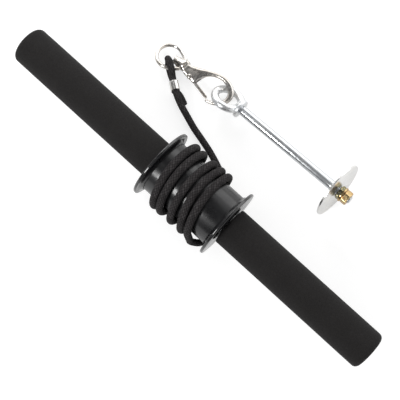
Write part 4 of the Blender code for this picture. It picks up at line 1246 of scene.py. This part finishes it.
def makeSpring():
    wire, coil, turnCount = gate["wire"], gate["coil"], gate["turns"]
    height = turnCount * (2 * wire + 0.12)
    line = [(6.8, -0.4, -height / 2), (4.2, -1.4, -height / 2)]
    steps = 24 * turnCount
    for i in range(steps + 6):
        a = radians(-70 - 15 * i)
        rise = min(i / steps, 1) * height
        line.append((coil * cos(a), coil * sin(a), rise - height / 2))
    line.append((line[-1][0] - 1.5, line[-1][1] + 0.3, line[-1][2]))
    points, around = np.array(line), 12
    ups = carriedUps(points, (0, 0, 1))
    sides = np.cross(tangentsOf(points), ups)
    a = circle(around)[None, :, None]
    rings = points[:, None] + wire * (sides[:, None] * np.cos(a) + ups[:, None] * np.sin(a))
    corners = np.concatenate([rings.reshape(-1, 3), points[[0, -1]]]) * mm
    made = newPiece("gateSpring", corners, cappedFaces(len(points), around), gateFrame)
    finishPiece(made, "snap_body", metals["plainSteel"], ["gate_spring"], sharp=60)


makeGate()
makeSpring()
print("stage: gate")


# Eye nut: a forged ring with a collar that is bored and threaded
nut = {
    "ring": 14.3,
    "section": 4.1,
    "face": 18,
    "collar": 10,
    "height": 3,
    "bore": 4.25,
    "pitch": 1.25,
    "thread": 0.32,
}


def innerThread(low, high):
    r = nut["bore"]
    start = [(high, 0), (high, r + 0.45), (high - 0.6, r + 0.05), (high - 0.7, r)]
    end = [(low + 0.7, r), (low + 0.6, r + 0.05), (low, r + 0.45), (low, 0)]
    zones = [(low + 0.7, high - 0.7)]
    line, pitch, depth = start + end, nut["pitch"], -nut["thread"]
    return threadedSolid("innerThread", line, 44, pitch, depth, zones, pinFrame)


def makeEyeNut():
    radius, face, collar = nut["ring"], nut["face"], nut["collar"]
    turns = circle(128)
    line = [Vector((radius * cos(a), radius * sin(a), 0)) for a in turns]
    ring = sweptRing("eyeNut", line, nut["section"], 40, pinFrame)
    inner = radius - nut["section"]
    profile = [
        (face, 0), (face, collar, 0.7), (face - nut["height"], collar, 0.8),
        (face - nut["height"] - 1.6, collar - 2.4, 1.6), (inner + 0.8, collar - 4.4),
        (inner + 0.8, 0),
    ]
    seat = lathe("eyeCollar", profile, 96, pinFrame)
    made = carve(ring, [innerThread(inner - 2, face)], [seat])
    finishPiece(made, "eye_nut", metals["brightZinc"], ["eye_nut"], sharp=36)


makeEyeNut()
print("stage: eye nut")


# Plate pin: rod with cut threads at both ends, leaning stop disc, nuts and washer
pin = {
    "rod": 5,
    "thread": 3.9,
    "groove": 0.62,
    "start": 10.8,
    "shoulder": 19.2,
    "end": 143,
    "tip": 161.194,
    "chamfer": 0.8,
    "disc": 30,
    "discHalf": 1,
    "discBore": 4.5,
    "flats": 13,
    "sides": 6,
    "lockNut": (146.694, 4),
    "washer": (150.994, 1.6),
    "endNut": (152.894, 6.5),
    "washerRadius": 8,
}


def makeRod():
    rod, thread, chamfer = pin["rod"], pin["thread"], pin["chamfer"]
    tip, end, shoulder, start = pin["tip"], pin["end"], pin["shoulder"], pin["start"]
    stations = [
        (tip, 0), (tip, thread - chamfer), (tip - chamfer, thread), (end + 0.6, thread),
        (end + 0.2, thread), (end, thread + 0.2), (end, rod - 0.5),
        (end - 0.15, rod - 0.15), (end - 0.5, rod), (shoulder + 0.8, rod),
        (shoulder + 0.25, rod - 0.55), (shoulder, rod - 0.8), (shoulder, thread + 0.2),
        (shoulder - 0.2, thread), (shoulder - 0.6, thread), (start + chamfer, thread),
        (start, thread - chamfer), (start, 0),
    ]
    zones = [(start + chamfer, shoulder - 0.6), (end + 0.6, tip - chamfer)]
    pitch, depth = nut["pitch"], pin["groove"]
    made = threadedSolid("plateRod", stations, 64, pitch, depth, zones, pinFrame, 10)
    finishPiece(made, "plate_pin", metals["turnedZinc"], ["loading_rod"], sharp=40)


def makeDisc():
    half, outer, bore = pin["discHalf"], pin["disc"], pin["discBore"]
    profile = [
        (half, bore + 1.1, 0.2), (half, outer, 0.55), (-half, outer, 0.3),
        (-half, bore + 1.1, 0.2), (-half + 0.6, bore), (half - 0.6, bore),
    ]
    made = lathe("stopDisc", profile, 192, discFrame, True)
    finishPiece(made, "plate_pin", metals["discZinc"], ["plate_disc"], sharp=40)


def makeNut(name, start, height, node, material, slotName):
    flats, side, steps = pin["flats"] / 2, fullTurn / pin["sides"], 96
    corner = flats / cos(side / 2)
    heights = [0, 0.22, 0.6, height / 2, height - 0.6, height - 0.22, height]
    corners = []
    for x in heights:
        limit = flats * 0.985 + min(1, min(x, height - x) / 0.7) * (corner - flats) * 1.02
        for a in circle(steps):
            flat = flats / cos((a + side / 2) % side - side / 2)
            r = min(flat, limit)
            corners.append(((start + x) * mm, r * mm * cos(a), r * mm * sin(a)))
    corners += [(start * mm, 0, 0), ((start + height) * mm, 0, 0)]
    faces = cappedFaces(len(heights), steps)
    solid = newPiece(name, corners, faces, pinFrame @ turned(30, "X"))
    made = carve(solid, [innerThread(start - 0.01, start + height + 0.01)])
    finishPiece(made, "plate_pin", material, [node], sharp=30)


def makeWasher():
    start, height = pin["washer"]
    outer, bore, top = pin["washerRadius"], nut["bore"] + 0.2, start + height
    profile = [(top, outer, 0.45), (start, outer, 0.2), (start, bore, 0.2), (top, bore, 0.3)]
    made = lathe("nutWasher", profile, 96, pinFrame, True)
    finishPiece(made, "plate_pin", metals["yellowZinc"], ["nut_washer"], sharp=40)


makeRod()
makeDisc()
# The lock nut takes yellow zinc darkened with painted shade
makeNut("lockNut", *pin["lockNut"], "lock_nut", metals["olivePlating"], "zinc")
makeNut("endNut", *pin["endNut"], "end_nut", metals["yellowZinc"], "gold_zinc")
makeWasher()
print("stage: plate pin")


# Pieces inside the bar keep their solids and get these finishes
for nodeName, finish in (
    ("core_tube", metals["plainSteel"]),
    ("drive_pin", metals["plainSteel"]),
    ("tube_plug_left", plugMaterial),
    ("tube_plug_right", plugMaterial),
):
    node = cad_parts[nodeName]
    node.data.materials.clear()
    node.data.materials.append(finish)
print("stage: inner pieces")


# Studio: a pale floor, four soft boxes, and a dark drape and flag that only reflections see
studio = {
    "floor": 6.0,
    "drop": 0.0004,
    "floorGlow": 0.70,
    "floorTone": 0.42,
    "mirrorGlow": 0.22,
    "mirrorTone": 0.7,
    "drape": [(0.62, 1.8), (-0.1, 1.75), (-0.75, 1.5), (-1.2, 1.05), (-1.4, 0.5), (-1.45, 0.02)],
    "drapeWidth": 3.6,
    "flag": [(0.60, 1.805), (1.0, 1.74)],
    "flagWidth": 1.0,
    "flagMiddle": -0.42,
    "skyForDiffuse": 0.6,
}


def stageSheet(name, profile, width, material, middle=0):
    count = len(profile)
    corners = [(middle + side * width / 2, y, z) for side in (-1, 1) for y, z in profile]
    faces = [(i, i + 1, count + i + 1, count + i) for i in range(count - 1)]
    mesh = bpy.data.meshes.new(name)
    mesh.from_pydata(corners, [], faces)
    made = newObject(name, mesh)
    made.data.materials.append(material)
    return made


def floorLook(net, where):
    speckle = net.grain(where, 3.0, 2.0)
    rays = net.add("ShaderNodeLightPath").outputs
    seen = net.larger(rays["Is Camera Ray"], rays["Is Transmission Ray"])
    glossy = rays["Is Glossy Ray"]
    tone = net.mix(speckle, (0.86, 0.86, 0.86), (0.88, 0.88, 0.88))
    tone = net.mix(glossy, tone, (studio["mirrorTone"],) * 3)
    seenGlow = net.times(seen, studio["floorGlow"])
    glossyGlow = net.times(glossy, studio["mirrorGlow"])
    return {
        "Base Color": net.mix(seen, tone, (studio["floorTone"],) * 3),
        "Emission Strength": net.larger(seenGlow, glossyGlow),
        "Emission Color": (1, 1, 1),
        "Roughness": 0.85,
        "Specular IOR Level": 0.1,
    }


def drapeLook(net, where):
    speckle = net.grain(where, 4.0, 2.0)
    tone = net.mix(speckle, (0.15, 0.15, 0.152), (0.19, 0.19, 0.193))
    return {"Base Color": tone, "Roughness": 0.9}


def softBox(name, place, target, width, height, power, roll=0):
    light = bpy.data.lights.new(name, "AREA")
    light.shape = "RECTANGLE"
    light.size, light.size_y = width, height
    light.energy = power
    placeFacing(newObject(name, light), place, Vector(place) - Vector(target), roll)


def makeSky():
    world = bpy.data.worlds.new("studioWorld")
    bpy.context.scene.world = world
    world.use_nodes = True
    net = Net(world.node_tree)
    rays = net.add("ShaderNodeLightPath").outputs
    shown = net.larger(rays["Is Camera Ray"], rays["Is Transmission Ray"])
    shown = net.larger(shown, rays["Is Glossy Ray"])
    strength = net.ramp(shown, 0.0, 1.0, studio["skyForDiffuse"], 1.0)
    background = net.tree.nodes["Background"]
    net.feed(background, {"Color": (1, 1, 1), "Strength": strength})


floorMaterial = newMaterial("studioFloor", floorLook)
reach, height = studio["floor"] / 2, -studio["drop"]
stageSheet("studioFloor", [(-reach, height), (reach, height)], studio["floor"], floorMaterial)
drapeMaterial = newMaterial("darkDrape", drapeLook)
for sheetName, profile, width, middle in (
    ("darkDrape", studio["drape"], studio["drapeWidth"], 0),
    ("darkFlag", studio["flag"], studio["flagWidth"], studio["flagMiddle"]),
):
    sheet = stageSheet(sheetName, profile, width, drapeMaterial, middle)
    sheet.visible_camera = sheet.visible_diffuse = sheet.visible_shadow = False
# Soft boxes: place, what it faces, width, height, power in watts, and roll in degrees
softBox("windowBox", (0.0, 1.44, 0.63), (0, 0, 0), 2.6, 1.0, 12.0)
softBox("fillBox", (-0.75, 0.36, 0.55), (-0.18, -0.03, 0.04), 0.5, 0.5, 3.0)
softBox("rodBox", (-0.50, -0.30, 1.7), (0.05, 0, 0.01), 0.75, 0.26, 0.95, 30)
softBox("narrowBox", (-0.25, -0.98, 0.83), (-0.05, -0.06, 0.04), 0.24, 0.42, 7.4)
makeSky()
print("stage: studio")
